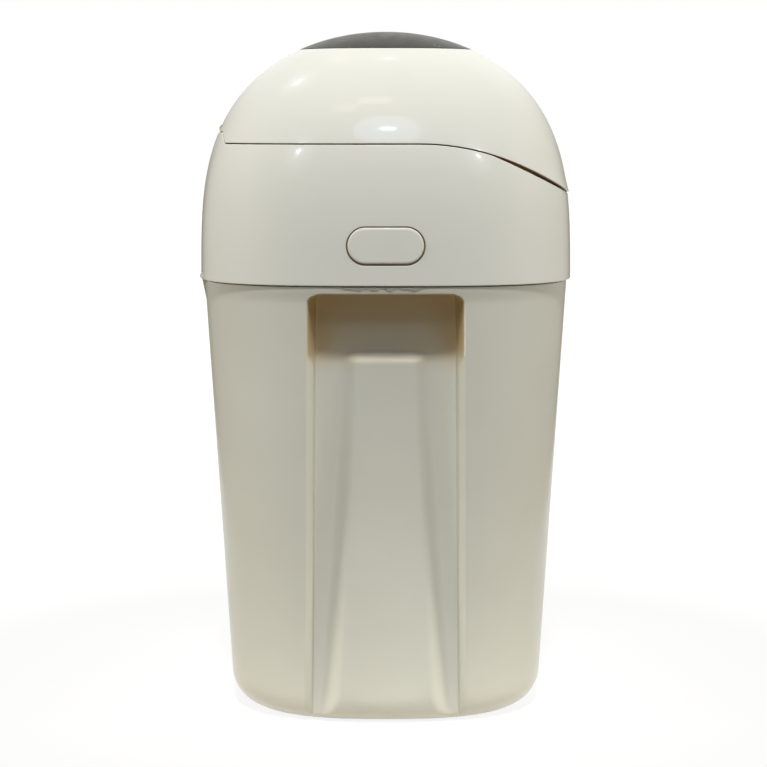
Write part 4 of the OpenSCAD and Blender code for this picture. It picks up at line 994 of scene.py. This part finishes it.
zinc_pin = plated("zinc_pin", shown(206, 208, 212), shown(176, 180, 188), (0.2, 0.4), (90, 4, 90))
zinc_wire = plated("zinc_wire", shown(198, 200, 204), shown(168, 171, 178), (0.25, 0.45), (60, 60, 60))
zinc_screw = plated("zinc_screw", shown(212, 210, 200), shown(182, 180, 168), (0.22, 0.42), (80, 80, 12))
keep(zinc_pin, "head_hinge_pin", "lid_hinge_pin")


def coil(node, way, seat, end, radius, wire, turns):
    """A round-wire compression spring along a direction.

    Its name is its node's, and it rests with one end on the seat.
    """
    length = (Vector(end) - Vector(seat)).length
    steps = turns * 28
    bm = bmesh.new()
    loop = bmesh.ops.create_circle(bm, segments=10, radius=wire)["verts"]
    bmesh.ops.rotate(bm, matrix=Matrix.Rotation(math.radians(90), 3, "X"), verts=loop)
    bmesh.ops.translate(bm, vec=(radius - wire, 0, wire), verts=loop)
    bmesh.ops.spin(bm, geom=bm.verts[:] + bm.edges[:], cent=(0, 0, 0), axis=(0, 0, 1),
                   angle=2 * math.pi * turns, dvec=(0, 0, (length - 2 * wire) / steps), steps=steps,
                   use_merge=False, use_duplicate=False)
    bmesh.ops.edgeloop_fill(bm, edges=[e for e in bm.edges if e.is_boundary])
    bmesh.ops.rotate(bm, matrix=Vector(way).to_track_quat("Z", "X").to_matrix(), verts=bm.verts)
    bmesh.ops.translate(bm, vec=seat, verts=bm.verts)
    outward(bm)
    made = piece(bm, node + "_coil", "head", zinc_wire, node)
    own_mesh(made)


for sy, side in ((1, "left"), (-1, "right")):
    coil(f"button_spring_{side}", (0, sy, 0),
         seat=(0, sy * 97.9, BUTTON_Z), end=(0, sy * 112.6, BUTTON_Z),
         radius=4.5, wire=0.4, turns=5)
    for sx, end in ((1, "front"), (-1, "rear")):
        coil(f"jaw_spring_{end}_{side}", (-sx, 0, 0),
             seat=(sx * 122.0, sy * 49.9, 364.3), end=(sx * 69.3, sy * 49.9, 364.3),
             radius=4, wire=0.7, turns=7)
keep(zinc_screw, "clamp_screws", "deck_screws", "guide_screws", "lid_screws")

# ------------------------------------------------------------------ inner deck and button guides
# The deck is a matt grey moulding with a well for the film cassette and a throat through its
# middle. The button guides are screwed to its underside in the same plastic.
# The deck plastic's darker tone in its recesses is painted shade, and its paler rounded edges are a
# painted highlight.
deck_grey = moulded("deck_plastic", shown(206, 207, 208), shown(198, 199, 201), (0.45, 0.58), peel=0.3,
                    drift=11.0, edge_highlight=shown(222, 223, 224),
                    recess_shade={"tone": (0.5, 0.48, 0.44, 1), "reach": 0.012, "own": True,
                           "shut": 0.2, "free": 0.7})
keep(deck_grey, "inner_deck", "button_guide_left", "button_guide_right")
rim(0.5, "inner_deck", "button_guide_left", "button_guide_right")

# ------------------------------------------------------------------ film cassette
# The cassette is a thin pale blue tub with a cover that snaps on. The film is packed in it as a
# ring of fine pleats, and is drawn down through the throat.
# The cassette plastic's darker tone in its recesses is painted shade, and its paler rounded edges are a
# painted highlight.
cassette_blue = moulded("cassette_plastic", shown(178, 208, 228), shown(168, 200, 222), (0.3, 0.42),
                        peel=0.12, drift=14.0, edge_highlight=shown(206, 226, 240), Specular_IOR_Level=0.45,
                        recess_shade={"tone": (0.5, 0.58, 0.66, 1), "reach": 0.01, "own": True,
                               "shut": 0.2, "free": 0.7})
keep(cassette_blue, "cassette_tub", "cassette_cover")
rim(0.35, "cassette_tub", "cassette_cover")

pleated_film = paint("pleated_film")
place = add(pleated_film, "TexCoord").outputs["Object"]
layers = add(pleated_film, "TexWave", {"Vector": place, "Scale": 190.0, "Distortion": 2.4, "Detail": 3.0,
                                       "Detail Scale": 2.0}, bands_direction="Z", wave_profile="SAW")
crease = add(pleated_film, "TexNoise", {"Vector": place, "Scale": 130.0, "Detail": 5.0,
                                        "Distortion": 0.8})
# The colour runs from a darker to a paler blue across each pleat: painted shade of the folds.
tone = graded(pleated_film, layers.outputs["Fac"], 0.0, shown(196, 206, 218), 0.6, shown(232, 236, 241))
sheen = add(pleated_film, "MapRange", {"Value": crease.outputs["Fac"], "To Min": 0.18, "To Max": 0.5})
folds = add(pleated_film, "Math", {0: layers.outputs["Fac"], 1: crease.outputs["Fac"]}, operation="ADD")
relief = add(pleated_film, "Bump", {"Height": folds.outputs[0], "Strength": 0.5, "Distance": 0.0006})
coat(pleated_film, Specular_IOR_Level=0.6, Coat_Weight=0.25, Base_Color=tone, Roughness=sheen.outputs[0],
     Normal=relief.outputs[0])
keep(pleated_film, "film_pack")

# ------------------------------------------------------------------ film clamp and cutter
# Under the deck, two matt charcoal jaws slide in a grey housing. Springs push them together on
# rubber lips, and a small hooked cutter with a steel blade stands beside them.
keep(deck_grey, "clamp_housing")
rim(0.5, "clamp_housing")
# The jaw plastic's paler rounded edges are a painted highlight.
jaw_black = moulded("jaw_plastic", shown(58, 58, 58), shown(48, 48, 48), (0.42, 0.56), peel=0.4,
                    drift=20.0, edge_highlight=shown(92, 92, 92), Specular_IOR_Level=0.4)
keep(jaw_black, "clamp_jaw_front", "clamp_jaw_rear", "film_cutter_body")
rim(0.6, "clamp_jaw_front", "clamp_jaw_rear", "film_cutter_body")
keep(rubber("lip_rubber", shown(24, 24, 25), 1300.0), "jaw_lip_front", "jaw_lip_rear")
rim(0.8, "jaw_lip_front", "jaw_lip_rear")
keep(plated("ground_blade", shown(222, 224, 228), shown(196, 199, 205), (0.12, 0.3), (300, 300, 8)),
     "film_cutter_blade")

# ------------------------------------------------------------------ lid liner and seal
# A grey liner closes the underside of the lid. Its round plug sinks into the throat, and a soft
# black seal round the plug keeps the smell in.
keep(deck_grey, "lid_liner")
rim(0.5, "lid_liner")
keep(rubber("seal_rubber", shown(34, 34, 34), 700.0), "lid_seal")
